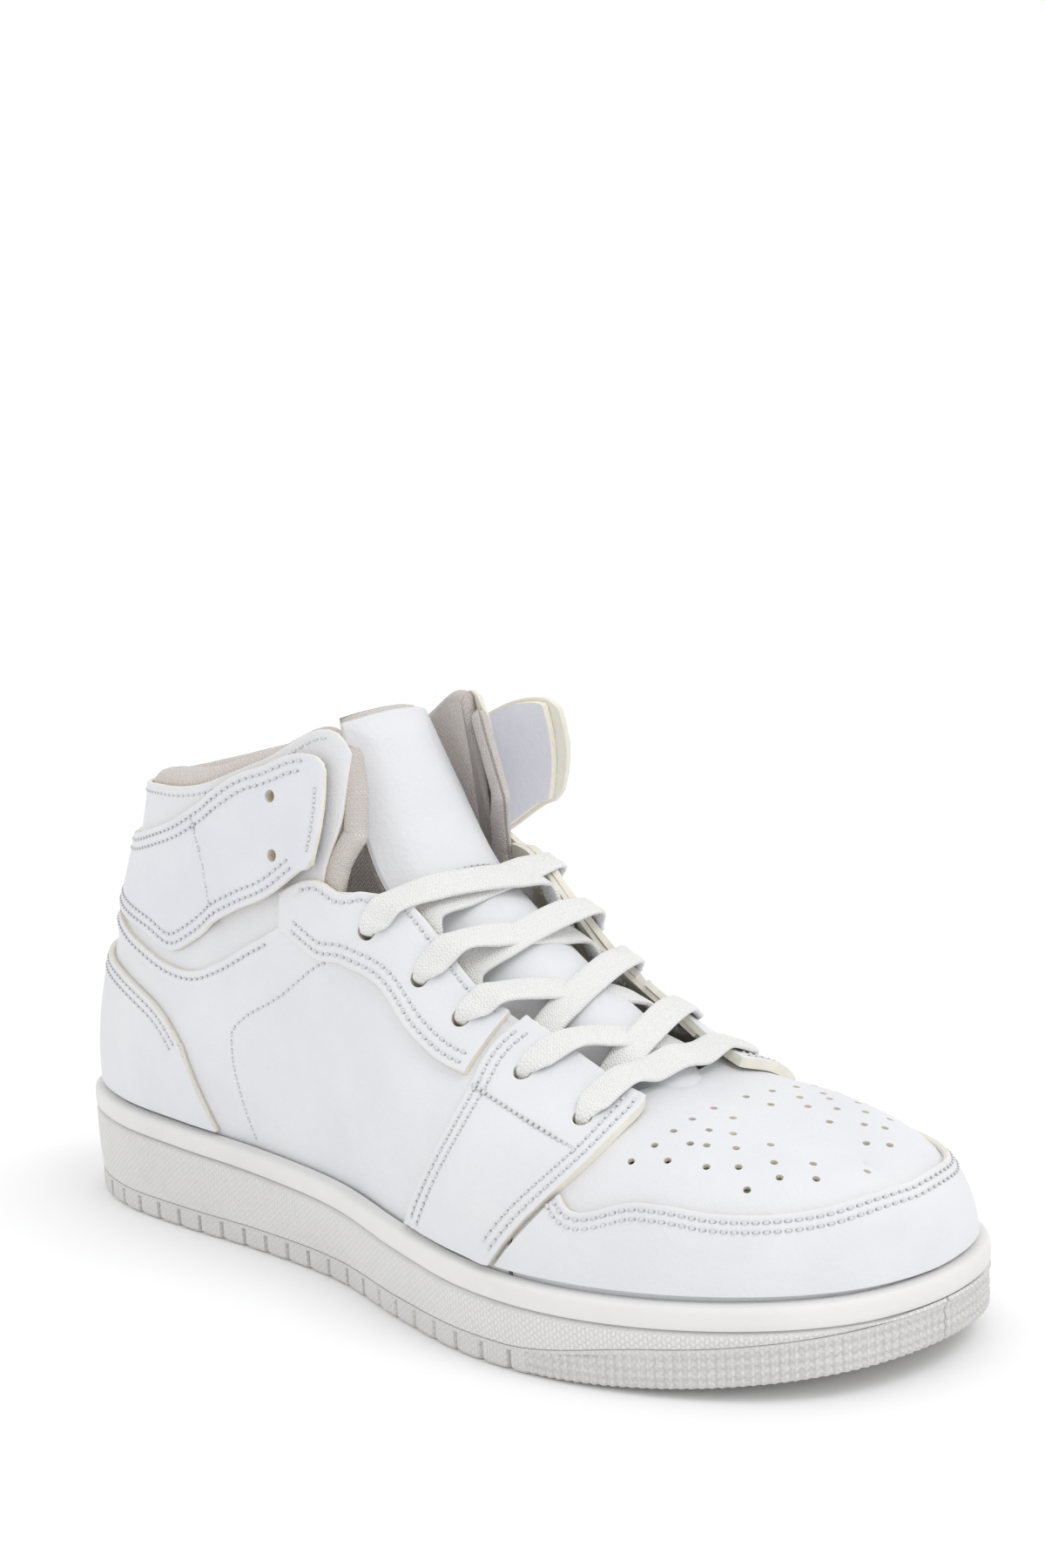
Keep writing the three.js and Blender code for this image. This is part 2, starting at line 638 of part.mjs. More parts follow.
// ---- Ankle straps: sewn round the heel, each side ends in a free tab behind a cross seam ----
const crossSeam = (t) => 0.687 + 0.132 * (t - 0.642);
const STRAP_HOLES = [
  [0.62, 0.89],
  [0.614, 0.745],
];

function ankleWrap() {
  const region = (u, v) => {
    const top = spline([0, 0.4, 0.75, 1], [0.83, 0.835, 0.885, 0.935])(u);
    const low = spline([0, 0.35, 0.7, 0.85, 1], [0.56, 0.545, 0.5, 0.52, 0.62])(u);
    const t = mix(low, top, v);
    return [mix(1, crossSeam(t) + 0.002, u), t];
  };
  wrapPanel("ankle_wrap", steps(-1, 1, 24), steps(0, 1, 4), region, GAP, OVERLAY_OUT, WHITE_LEATHER);
}

function strap(side, name) {
  const knots = [0, 0.12, 0.35, 0.65, 0.86, 1];
  const low = spline(knots, [0.618, 0.626, 0.645, 0.66, 0.69, 0.75]);
  const high = spline(knots, [0.94, 0.965, 0.985, 0.965, 0.935, 0.89]);
  const gapShare = HINGE_GAP / (PERIMETER / 2);
  const tip = 0.566;
  const region = (u, v) => {
    const t = mix(low(u), high(u), v);
    const bow = 0.004 * (1 - (2 * v - 1) ** 2) * u;
    return [mix(crossSeam(t) - gapShare, tip - bow, u), t];
  };
  const lift = (s) => 1.2 * smoothstep(0.69 - s, 0, 0.12);
  const backIn = (s) => GAP + lift(s);
  const backOut = (s) => backIn(s) + STRAP_BACKING;
  const faceIn = (s) => backOut(s) + GAP;
  const faceOut = (s) => faceIn(s) + OVERLAY;
  const rows = steps(0, 1, 3);
  const face = panel(`${name}_strap`, side, steps(0, 1, 7), rows, region, faceIn, faceOut, WHITE_LEATHER);
  const inner = (u, v) => region(0.03 + 0.95 * u, 0.03 + 0.94 * v);
  const back = panel(`${name}_strap_backing`, side, steps(0, 1, 7), rows, inner, backIn, backOut, FELT, 0.95);
  for (const mesh of [face, back]) bore(mesh, side, STRAP_HOLES, STRAP_HOLE);
}

// ---- Tongue: an arch across, along a centre line from under the vamp to above the collar ----
const tongueLine = spline([0, 0.1, 0.25, 0.4, 0.55, 0.68, 0.84, 1], [
  [-0.575, 0.213],
  [-0.5, 0.287],
  [-0.36, 0.38],
  [-0.215, 0.475],
  [-0.075, 0.59],
  [0.02, 0.69],
  [0.093, 0.848],
  [0.16, 1.027],
]);
const tongueHalf = spline([0, 0.1, 0.25, 0.4, 0.55, 0.68, 0.84, 1], [13, 14.5, 17.5, 20, 21.5, 22, 20, 16]);
const tongueDrop = spline([0, 0.25, 0.68, 1], [4.5, 7, 8, 5.5]);
const TONGUE_FOLD = 0.7; // where the free top of the tongue starts

function tongueCentre(v) {
  const [run, rise] = tongueLine(v);
  return new THREE.Vector3(FOOT_AXIS, run * half, WAIST_HEIGHT + rise * ANKLE_HEIGHT);
}
function tongueNormal(v) {
  const e = 0.01;
  const along = tongueCentre(Math.min(v + e, 1)).sub(tongueCentre(Math.max(v - e, 0))).normalize();
  return new THREE.Vector3(0, -along.z, along.y);
}
function tonguePoint(u, v, depth) {
  const out = tongueNormal(v);
  const p = tongueCentre(v).addScaledVector(out, -tongueDrop(v) * u * u);
  p.x += u * tongueHalf(v) * widthScale;
  const lean = (2 * u * tongueDrop(v)) / (tongueHalf(v) * widthScale);
  return p.addScaledVector(out.clone().setX(lean).normalize(), -depth);
}

function tongue() {
  const layers = [
    ["face", 0, TONGUE_FACE, WHITE_LEATHER],
    ["foam", TONGUE_FACE + GAP, TONGUE_FACE + GAP + TONGUE_FOAM, FELT],
    ["lining", TONGUE_FACE + TONGUE_FOAM + 2 * GAP, TONGUE_FACE + TONGUE_FOAM + 2 * GAP + LINING, KNIT],
  ];
  const fold = tongueCentre(TONGUE_FOLD);
  const foldShare = (0.01 * HINGE_GAP) / fold.distanceTo(tongueCentre(TONGUE_FOLD - 0.01));
  for (const [part, top, bottom, colour] of layers) {
    const at = (v, u, face) => tonguePoint(u, v, face ? top : bottom);
    const across = steps(-1, 1, 6);
    sheet(`tongue_${part}`, steps(0, TONGUE_FOLD - foldShare, 7), across, at, colour, 0.7);
    sheet(`tongue_top_${part}`, steps(TONGUE_FOLD, 1, 4), across, at, colour, 0.7);
  }
}

// ---- Lace ----
// One flat lace: each end of the bar at the lowest holes runs up the throat, from under one edge
// across to the top of the next hole on the other side, and ends tucked down inside the ankle.
function holeFrame(side, row) {
  const [s, t] = EYELETS[row];
  const centre = skinPoint(side, s, t);
  const out = skinNormal(side, s, t);
  const inward = skinPoint(side, s, t + 0.03).sub(centre);
  inward.addScaledVector(out, -inward.dot(out)).normalize();
  const edge = skinPoint(side, s, throatEdge(s)).sub(centre).length();
  const across = out.clone().cross(inward).normalize();
  if (across.y < 0) across.negate();
  const at = (along, up) => skinAt(side, s, t + (along / edge) * (throatEdge(s) - t), up);
  return { centre, edge, across, at };
}

function lace(linerTop) {
  const over = OVERLAY_OUT + 1.1 + LACE_THICK / 2;
  const under = -(LEATHER + 0.7 + LACE_THICK / 2);
  const flat = [LACE_WIDTH, LACE_THICK];
  const bunched = [3.9, 2.6];
  const halfway = [6.4, 2.1];
  const stop = (point, across, size) => ({ point, across, size });

  // From over the throat edge, down through the hole and back out under the edge.
  const dive = (h) => [
    stop(h.at(h.edge + 1.4, over + 0.4), h.across, flat),
    stop(h.at(5.5, over), h.across, flat),
    stop(h.at(2.8, over), h.across, halfway),
    stop(h.at(0.6, over - 1), h.across, bunched),
    stop(h.at(0, 0.3), h.across, bunched),
    stop(h.at(0.4, under + 0.9), h.across, bunched),
    stop(h.at(2.6, under - 0.3), h.across, halfway),
    stop(h.at(5.5, under - 0.1), h.across, flat),
    stop(h.at(h.edge - 2, under - 0.2), h.across, flat),
    stop(h.at(h.edge + 3, under - 0.4), h.across, flat),
  ];
  // Over the tongue at its centre line, the given height above it.
  const crossing = (a, b, height) => {
    const y = (a.centre.y + b.centre.y) / 2 + 4;
    const v = steps(0, 1, 200).reduce((best, w) =>
      Math.abs(tongueCentre(w).y - y) < Math.abs(tongueCentre(best).y - y) ? w : best,
    );
    const out = tongueNormal(v);
    const across = new THREE.Vector3(0, out.z, -out.y);
    const side = Math.sign(b.centre.x - FOOT_AXIS);
    const place = (share, lift) => {
      const above = height * (1 - 0.5 * Math.abs(share)) + lift;
      return tonguePoint(share * side, v, -above);
    };
    return [
      stop(place(-0.5, 0.3), across, flat),
      stop(place(0, 0), across, flat),
      stop(place(0.5, 1.2), across, flat),
    ];
  };
  const TOP_STRAND = 4.8;
  const LOW_STRAND = 2.2;
  // The run of one half of the lace, from its first hole up to its last.
  const climb = (startSide) => {
    const route = [];
    let side = startSide;
    for (let row = 0; row < EYELETS.length; row++) {
      const hole = holeFrame(side, row);
      if (row > 0) {
        const before = holeFrame(-side, row - 1);
        const fromLateral = side > 0;
        const onTop = row < EYELETS.length - 1 ? fromLateral : !fromLateral;
        route.push(...crossing(before, hole, onTop ? TOP_STRAND : LOW_STRAND));
      }
      const run = dive(hole);
      route.push(...(row === EYELETS.length - 1 ? run.slice(0, 7) : run));
      side = -side;
    }
    return { route, side: -side };
  };
  const tail = (side) => {
    const last = holeFrame(side, EYELETS.length - 1);
    const x = (d) => FOOT_AXIS + side * d;
    const floor = (y) => linerTop(y) + LACE_THICK / 2 + 0.6;
    const wide = new THREE.Vector3(0, 1, 0.2).normalize();
    const points = [
      [x(27), last.centre.y + 4, 86],
      [x(26), last.centre.y + 4, 74],
      [x(25), last.centre.y + 1, 60],
      [x(24), last.centre.y - 4, 46],
      [x(24), last.centre.y - 12, 34],
      [x(23.5), last.centre.y - 22, floor(last.centre.y - 22) + 0.8],
      [x(23), last.centre.y - 34, floor(last.centre.y - 34)],
      [x(22), last.centre.y - 48, floor(last.centre.y - 48)],
      [x(20), last.centre.y - 62, floor(last.centre.y - 62)],
    ];
    return points.map((p, i) => {
      const across = i < 4 ? wide : new THREE.Vector3(1, 0, 0);
      return stop(new THREE.Vector3(...p), across, i === points.length - 1 ? [2.6, 2.2] : [6, 2]);
    });
  };
  const left = climb(-1);
  const right = climb(1);
  const bar = (() => {
    const v = 0.13;
    const out = tongueNormal(v);
    const across = new THREE.Vector3(0, out.z, -out.y);
    return [-0.5, 0, 0.5].map((share) => stop(tonguePoint(share, v, -4.2), across, flat));
  })();
  const route = [
    ...tail(left.side).reverse(),
    ...left.route.reverse(),
    ...bar,
    ...right.route,
    ...tail(right.side),
  ];
  sweepFlat("lace", route, LACE_WHITE);
  for (const [side, name] of SIDES) {
    const end = tail(side).at(-1).point;
    const before = tail(side).at(-2).point;
    aglet(`${name}_aglet`, end, end.clone().sub(before).normalize());
  }
}

// A flat section with cut corners, carried along a route of stops.
function sweepFlat(name, route, colour) {
  const points = [];
  const corners = [
    [1, 0],
    [0.8, 1],
    [-0.8, 1],
    [-1, 0],
    [-0.8, -1],
    [0.8, -1],
  ];
  let last = null;
  route.forEach((r, i) => {
    const ahead = route[Math.min(i + 1, route.length - 1)].point;
    const behind = route[Math.max(i - 1, 0)].point;
    const along = ahead.clone().sub(behind).normalize();
    const wide = r.across.clone().addScaledVector(along, -r.across.dot(along)).normalize();
    if (last && wide.dot(last) < 0) wide.negate();
    last = wide;
    const thick = along.clone().cross(wide);
    for (const [a, b] of corners)
      points.push(
        r.point
          .clone()
          .addScaledVector(wide, (a * r.size[0]) / 2)
          .addScaledVector(thick, (b * r.size[1]) / 2),
      );
  });
  const n = corners.length;
  const triangles = [];
  for (let i = 0; i < route.length - 1; i++)
    for (let k = 0; k < n; k++) {
      const m = (k + 1) % n;
      const [a, b, c, d] = [i * n + k, i * n + m, (i + 1) * n + m, (i + 1) * n + k];
      triangles.push(a, b, c, a, c, d);
    }
  const base = (route.length - 1) * n;
  for (let k = 1; k < n - 1; k++) triangles.push(0, k + 1, k, base, base + k, base + k + 1);
  return meshFromFaces(name, points, triangles, colour, 0.9);
}

function aglet(name, start, along) {
  const length = 14;
  const geometry = new THREE.CylinderGeometry(1.4, 1.2, length, 10);
  const material = new THREE.MeshStandardMaterial({ color: 0xf2f2ef, roughness: 0.3, metalness: 0 });
  const mesh = new THREE.Mesh(geometry, material);
  mesh.name = name;
  mesh.quaternion.setFromUnitVectors(new THREE.Vector3(0, -1, 0), along);
  mesh.position.copy(start).addScaledVector(along, length / 2 + GAP);
  group.add(mesh);
}

// ---- Assembly ----
outsole();
cup();
const { linerTop } = fillings();
vamp();
mudguard();
heelParts();
collar();
ankleWrap();
for (const [side, name] of SIDES) {
  quarters(side, name);
  saddle(side, name);
  eyestay(side, name);
  strap(side, name);
}
tongue();
lace(linerTop);

export default group;
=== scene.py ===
"""A white high-top basketball shoe, right foot, on a pale floor.

Every shape is worked out in millimetres and put into its mesh in metres. The upper lies on one skin:
s runs along the sole edge from the toe (0) to the heel (1), t runs up the side from the sole edge (0)
to the top line (1), and side is -1 on the lateral side and 1 on the medial side."""

import json

import bmesh
import bpy
import numpy as np
from mathutils import Matrix, Vector
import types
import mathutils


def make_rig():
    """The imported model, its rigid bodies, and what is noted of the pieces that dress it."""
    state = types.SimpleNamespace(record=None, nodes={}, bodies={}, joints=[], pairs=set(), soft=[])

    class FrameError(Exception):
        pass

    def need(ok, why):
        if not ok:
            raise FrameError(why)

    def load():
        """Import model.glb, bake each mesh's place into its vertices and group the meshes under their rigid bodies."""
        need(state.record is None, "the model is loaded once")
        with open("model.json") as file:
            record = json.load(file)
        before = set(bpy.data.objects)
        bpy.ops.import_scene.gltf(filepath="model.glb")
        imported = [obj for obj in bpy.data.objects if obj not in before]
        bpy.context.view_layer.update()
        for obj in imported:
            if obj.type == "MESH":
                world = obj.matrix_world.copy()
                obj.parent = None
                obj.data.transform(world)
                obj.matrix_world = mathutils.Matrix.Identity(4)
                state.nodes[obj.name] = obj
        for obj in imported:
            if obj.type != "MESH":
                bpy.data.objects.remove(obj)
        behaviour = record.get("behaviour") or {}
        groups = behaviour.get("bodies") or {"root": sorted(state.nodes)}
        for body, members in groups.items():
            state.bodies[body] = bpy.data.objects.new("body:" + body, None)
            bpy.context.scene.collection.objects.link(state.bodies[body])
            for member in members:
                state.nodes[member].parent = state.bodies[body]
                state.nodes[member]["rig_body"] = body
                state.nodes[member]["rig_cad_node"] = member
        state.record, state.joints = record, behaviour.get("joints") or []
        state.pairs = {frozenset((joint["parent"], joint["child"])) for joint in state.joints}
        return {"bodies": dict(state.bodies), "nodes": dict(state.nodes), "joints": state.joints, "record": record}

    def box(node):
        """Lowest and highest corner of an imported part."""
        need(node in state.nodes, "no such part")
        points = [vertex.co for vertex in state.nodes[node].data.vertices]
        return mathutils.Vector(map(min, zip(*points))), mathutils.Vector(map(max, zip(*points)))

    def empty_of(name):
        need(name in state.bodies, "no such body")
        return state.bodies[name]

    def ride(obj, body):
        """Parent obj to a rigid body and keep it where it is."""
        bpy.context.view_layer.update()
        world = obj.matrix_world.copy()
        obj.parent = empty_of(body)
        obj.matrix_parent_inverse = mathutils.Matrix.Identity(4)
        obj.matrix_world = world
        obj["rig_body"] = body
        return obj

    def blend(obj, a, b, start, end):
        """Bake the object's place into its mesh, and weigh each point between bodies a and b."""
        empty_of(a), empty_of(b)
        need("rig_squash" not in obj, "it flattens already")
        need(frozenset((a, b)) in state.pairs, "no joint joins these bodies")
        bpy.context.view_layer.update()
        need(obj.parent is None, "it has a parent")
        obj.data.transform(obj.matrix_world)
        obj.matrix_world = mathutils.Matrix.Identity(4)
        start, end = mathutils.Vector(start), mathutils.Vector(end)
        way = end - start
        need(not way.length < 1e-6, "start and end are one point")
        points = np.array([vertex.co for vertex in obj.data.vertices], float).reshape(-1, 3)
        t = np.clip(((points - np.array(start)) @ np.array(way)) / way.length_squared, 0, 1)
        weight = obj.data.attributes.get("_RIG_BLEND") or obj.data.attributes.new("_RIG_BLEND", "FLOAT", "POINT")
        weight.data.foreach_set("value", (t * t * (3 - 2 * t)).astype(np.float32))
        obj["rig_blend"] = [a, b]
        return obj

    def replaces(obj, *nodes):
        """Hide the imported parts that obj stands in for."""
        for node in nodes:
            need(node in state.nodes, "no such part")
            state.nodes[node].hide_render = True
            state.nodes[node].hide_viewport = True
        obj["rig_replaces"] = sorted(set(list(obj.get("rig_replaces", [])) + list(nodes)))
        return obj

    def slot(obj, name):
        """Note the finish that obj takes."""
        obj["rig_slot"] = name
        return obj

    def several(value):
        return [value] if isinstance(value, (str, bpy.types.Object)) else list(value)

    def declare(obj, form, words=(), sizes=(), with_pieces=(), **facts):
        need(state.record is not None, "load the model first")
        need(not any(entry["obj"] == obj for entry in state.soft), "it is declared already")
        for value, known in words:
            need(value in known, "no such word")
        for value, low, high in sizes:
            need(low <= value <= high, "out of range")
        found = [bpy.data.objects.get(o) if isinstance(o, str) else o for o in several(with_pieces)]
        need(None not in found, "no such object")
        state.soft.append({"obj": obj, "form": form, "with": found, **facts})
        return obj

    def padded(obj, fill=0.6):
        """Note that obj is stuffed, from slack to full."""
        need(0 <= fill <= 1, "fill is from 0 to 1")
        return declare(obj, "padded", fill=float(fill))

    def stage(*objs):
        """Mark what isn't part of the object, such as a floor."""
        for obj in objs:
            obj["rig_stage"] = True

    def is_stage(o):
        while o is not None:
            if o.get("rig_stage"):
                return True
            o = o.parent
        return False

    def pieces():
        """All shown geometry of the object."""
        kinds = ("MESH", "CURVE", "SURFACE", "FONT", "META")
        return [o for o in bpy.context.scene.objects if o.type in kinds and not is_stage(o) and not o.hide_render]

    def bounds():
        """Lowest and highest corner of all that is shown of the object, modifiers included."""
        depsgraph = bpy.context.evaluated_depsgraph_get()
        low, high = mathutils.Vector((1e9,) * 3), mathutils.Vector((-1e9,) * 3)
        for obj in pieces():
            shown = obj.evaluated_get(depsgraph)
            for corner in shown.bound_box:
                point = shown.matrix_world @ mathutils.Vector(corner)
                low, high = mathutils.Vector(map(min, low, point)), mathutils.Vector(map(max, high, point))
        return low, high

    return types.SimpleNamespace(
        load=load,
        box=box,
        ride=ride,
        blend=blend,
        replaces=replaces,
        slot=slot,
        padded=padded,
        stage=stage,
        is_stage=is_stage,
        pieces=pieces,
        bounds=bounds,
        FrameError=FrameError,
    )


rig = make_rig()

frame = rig.load()
cad_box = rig.bounds()

# ---------------------------------------------------------------- sizes, in millimetres
cup_low, cup_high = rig.box("midsole_cup")
LENGTH = (cup_high.y - cup_low.y) * 1000
WIDTH = (cup_high.x - cup_low.x) * 1000
HALF = LENGTH / 2
ANKLE_HEIGHT, HEEL_HEIGHT, WAIST_HEIGHT, TOE_HEIGHT = 120, cup_high.z * 1000, 26.3, 24.5
TOE_SPRING, HEEL_SPRING, TOE_BEND, HEEL_BEND, TREAD, TOE_WRAP = 7.4, 2, 0.44, 0.84, 6.6, 10.5
CUP_WALL, RIM_BAND, SEAM, GAP = 3.6, 6, 0.7, 0.45
LEATHER, OVERLAY, LINING, STIFFENER, COLLAR_PAD, LINER = 1.4, 1.5, 1.2, 1.3, 6, 3.6
SNUG = 0.06  # from the skin to the underside of an overlay
FOOT_AXIS = 0.042 * WIDTH / 2
OVERLAY_TOP = GAP + OVERLAY
LATERAL, MEDIAL = -1, 1
SIDES = ((LATERAL, "lateral"), (MEDIAL, "medial"))
ROWS = (2.0, 4.6)  # from an overlay's edge to its two rows of stitches


# ---------------------------------------------------------------- curves
def spline(knots, values):
    """A smooth curve through values at rising knots: a cubic between each two, whose slope at a knot
    is the mean of the slopes on its two sides, each weighted by the other side's width."""
    k, v = np.asarray(knots, float), np.asarray(values, float)
    single = v.ndim == 1
    v = v.reshape(len(k), -1)
    w = np.diff(k)[:, None]
    d = np.diff(v, axis=0) / w
    m = np.empty_like(v)
    m[1:-1] = (d[:-1] * w[1:] + d[1:] * w[:-1]) / (w[1:] + w[:-1])
    m[0] = 1.5 * d[0] - 0.5 * m[1] if len(k) > 2 else d[0]
    m[-1] = 1.5 * d[-1] - 0.5 * m[-2] if len(k) > 2 else d[0]

    def at(x):
        x = np.clip(np.asarray(x, float), k[0], k[-1])
        i = np.clip(np.searchsorted(k, x, side="right") - 1, 0, len(k) - 2)
        h = (k[i + 1] - k[i])[..., None]
        u = (x - k[i])[..., None] / h
        near = (1 + 2 * u) * (1 - u) ** 2 * v[i] + u * (1 - u) ** 2 * h * m[i]
        out = near + u * u * (3 - 2 * u) * v[i + 1] + u * u * (u - 1) * h * m[i + 1]
        return out[..., 0] if single else out

    return at


def smoothstep(x, low, high):
    """0 below low, 1 above high, and 3u^2 - 2u^3 of the share u between them."""
    u = np.clip((np.asarray(x, float) - low) / (high - low), 0, 1)
    return u * u * (3 - 2 * u)


def mix(a, b, u):
    return a + (b - a) * u


def unit(v):
    return v / np.maximum(np.linalg.norm(v, axis=-1, keepdims=True), 1e-12)


def lengths(path):
    """Distance along a path of points, from its start."""
    return np.concatenate([[0], np.cumsum(np.linalg.norm(np.diff(path, axis=0), axis=1))])


def follow(values, run, at):
    """Columns of values, known at the distances in run, read off at other distances."""
    return np.stack([np.interp(at, run, column) for column in values.T], -1)


# ---------------------------------------------------------------- the sole's outline
TOE_TIP, HEEL_TIP = (0.147, -1), (0.042, 1)
LATERAL_EDGE = (
    (-0.225, -0.973), (-0.47, -0.913), (-0.69, -0.813), (-0.867, -0.68), (-0.98, -0.52),
    (-0.996, -0.333), (-0.89, -0.133), (-0.72, 0.1), (-0.67, 0.333), (-0.674, 0.567),
    (-0.635, 0.767), (-0.481, 0.907), (-0.26, 0.973),
)  # fmt: skip
MEDIAL_EDGE = (
    (0.535, -0.973), (0.765, -0.913), (0.925, -0.813), (0.995, -0.68), (0.982, -0.52),
    (0.88, -0.333), (0.75, -0.133), (0.636, 0.1), (0.655, 0.333), (0.709, 0.567),
    (0.682, 0.767), (0.528, 0.907), (0.313, 0.973),
)  # fmt: skip


def closed_outline():
    """The outline as a closed centripetal Catmull-Rom curve: each span is the cubic whose end slopes
    weigh the neighbouring spans by the root of their lengths. Returns its points and their shares of
    the whole length."""
    steps = 240
    p1 = np.array((TOE_TIP, *LATERAL_EDGE, HEEL_TIP, *MEDIAL_EDGE[::-1])) * (WIDTH / 2, HALF)
    p0, p2, p3 = np.roll(p1, 1, 0), np.roll(p1, -1, 0), np.roll(p1, -2, 0)
    pairs = (p0, p1), (p1, p2), (p2, p3)
    d0, d1, d2 = (np.sqrt(np.linalg.norm(b - a, axis=1))[:, None] for a, b in pairs)
    m1 = d1 * ((p1 - p0) / d0 - (p2 - p0) / (d0 + d1) + (p2 - p1) / d1)
    m2 = d1 * ((p2 - p1) / d1 - (p3 - p1) / (d1 + d2) + (p3 - p2) / d2)
    w = np.linspace(0, 1, steps, endpoint=False)[None, :, None]
    c2 = -3 * p1 + 3 * p2 - 2 * m1 - m2
    c3 = 2 * p1 - 2 * p2 + m1 + m2
    points = (p1[:, None] + w * (m1[:, None] + w * (c2[:, None] + w * c3[:, None]))).reshape(-1, 2)
    points = np.vstack([points, points[:1]])
    run = lengths(points)
    return points, run / run[-1], run[-1]


OUTLINE, OUTLINE_SHARE, PERIMETER = closed_outline()
HEEL_SHARE = OUTLINE_SHARE[np.argmax(OUTLINE[:, 1])]


def round_outline(u):
    """Point and outward direction at share u of the whole outline."""
    at = lambda k: follow(OUTLINE, OUTLINE_SHARE, k % 1)
    along = unit(at(u + 0.002) - at(u - 0.002))
    return at(u), np.stack([-along[..., 1], along[..., 0]], -1)


def outline(side, s):
    """Point and outward direction at share s of one side."""
    return round_outline(np.where(side < 0, s * HEEL_SHARE, 1 - s * (1 - HEEL_SHARE)))


RIM_SAG, RIM_LIFT = 2.4, 0.4
rim_curve = spline(
    (-1, -0.5, 0, 0.5, 1),
    (
        TOE_HEIGHT, (TOE_HEIGHT + WAIST_HEIGHT) / 2 - RIM_SAG, WAIST_HEIGHT,
        (WAIST_HEIGHT + HEEL_HEIGHT) / 2 + RIM_LIFT, HEEL_HEIGHT,
    ),
)  # fmt: skip


def rim_height(y):
    return rim_curve(y / HALF)


def ground_height(y):
    """The sole's underside: flat, with a parabola up to the toe and a short one up to the heel."""
    toe = np.maximum((-TOE_BEND - y / HALF) / (1 - TOE_BEND), 0)
    heel = np.maximum((y / HALF - HEEL_BEND) / (1 - HEEL_BEND), 0)
    return TOE_SPRING * toe**2 + HEEL_SPRING * heel**2


def tread_top(y):
    return ground_height(y) + mix(TREAD, TOE_WRAP, smoothstep(-y / HALF, 0.42, 0.7))


# ---------------------------------------------------------------- the upper's skin
THROAT_END = 0.28
# Half the throat's and collar's opening over s, and the top line's place and height as shares of
# half the sole's length and of the ankle's height.
DRAWN_WIDTH = 110.6
top_gap = spline(
    (0.28, 0.36, 0.44, 0.5, 0.54, 0.57, 0.64, 0.71, 0.82, 0.91, 1),
    (0, 9, 15, 20, 24, 26, 33, 36.5, 32, 19, 0),
)
RUN_KNOTS = (0, 0.1, 0.2, 0.28, 0.36, 0.44, 0.5, 0.54, 0.57, 0.64, 0.71, 0.82, 0.91, 1)
top_run = spline(
    RUN_KNOTS,
    (-0.787, -0.707, -0.607, -0.52, -0.36, -0.18, -0.02, 0.067, 0.113, 0.267, 0.413, 0.6, 0.72, 0.767),
)
top_rise = spline(
    RUN_KNOTS,
    (0.189, 0.223, 0.26, 0.293, 0.439, 0.598, 0.764, 0.906, 0.989, 0.927, 0.864, 0.839, 0.823, 0.818),
)
SWELL_KNOTS = (0, 0.12, 0.28, 0.4, 0.5, 0.6, 0.72, 0.85, 1)
swell_low = spline(SWELL_KNOTS, (10, 13, 14.5, 11, 8, 5, 3, 3, 5))
swell_high = spline(SWELL_KNOTS, (8, 11, 12.5, 8, 7, 4, 1, 1, 3))


def top_line(side, s):
    """The upper's top edge: over the toe it is the centre line, drawn 4 mm across towards the tip,
    then each side of the throat and collar. The medial side has a hump of up to 3 mm at the ankle."""
    toe_shift = 4 * np.maximum(THROAT_END - s, 0) / THROAT_END
    x = np.where(s < THROAT_END, toe_shift, side * top_gap(s) * WIDTH / DRAWN_WIDTH)
    hump = np.where(side > 0, 3 * np.exp(-(((s - 0.57) / 0.07) ** 2)), 0)
    rise = WAIST_HEIGHT + top_rise(s) * ANKLE_HEIGHT + hump
    return np.stack([x + FOOT_AXIS, top_run(s) * HALF, rise], -1)


def skin(side, s, t):
    """A straight line from the sole edge to the top line, swollen outwards by the cubic of t that is 0
    at both ends, swell_low a third of the way up and swell_high at two thirds."""
    side, s, t = np.broadcast_arrays(*(np.asarray(v, float) for v in (side, s, t)))
    point, out = outline(side, s)
    foot = point - out * (CUP_WALL + SEAM)
    low = np.concatenate([foot, (rim_height(point[..., 1]) + 0.5)[..., None]], -1)
    chord = top_line(side, s) - low
    lean = unit(chord)
    swell = np.concatenate([out, np.full_like(out[..., :1], 0.6)], -1)
    swell = unit(swell - lean * (swell * lean).sum(-1, keepdims=True))
    a, b = swell_low(s) * 4.5, swell_high(s) * 4.5
    amount = t * (1 - t) * (2 * a - b + 3 * (b - a) * t)
    return low + chord * t[..., None] + swell * amount[..., None]


def side_normal(side, s, t):
    """Outward direction of one side, from the skin's steps along s and t."""
    e = 0.004
    s0, s1, t1 = np.maximum(s - e, 0), np.minimum(s + e, 1), np.minimum(t + e, 1)
    along = skin(side, s1, t) - skin(side, s0, t)
    up = skin(side, s, t1) - skin(side, s, t1 - 2 * e)
    return unit(np.cross(along, up) * np.asarray(side, float)[..., None])


def skin_normal(side, s, t):
    """Outward direction. Near the toe and heel ends, and near the top of the toe, it turns smoothly to
    the mean of the two sides' directions, so that the sides join without a crease."""
    side, s, t = np.broadcast_arrays(*(np.asarray(v, float) for v in (side, s, t)))
    own = side_normal(side, s, t)
    nearest = np.where(s < 0.5, 0.0, 1.0)
    end = unit(side_normal(side, nearest, t) + side_normal(-side, nearest, t))
    own = unit(mix(end, own, np.clip(np.abs(s - nearest) / 0.03, 0, 1)[..., None]))
    crown = unit(side_normal(side, s, t) + side_normal(-side, s, t))
    share = np.where(s < THROAT_END, np.clip((1 - t) / 0.06, 0, 1), 1)[..., None]
    return unit(mix(crown, own, share))


def on_skin(side, s, t, height=0):
    """A point of the skin, raised along its outward direction."""
    return skin(side, s, t) + skin_normal(side, s, t) * np.asarray(height, float)[..., None]


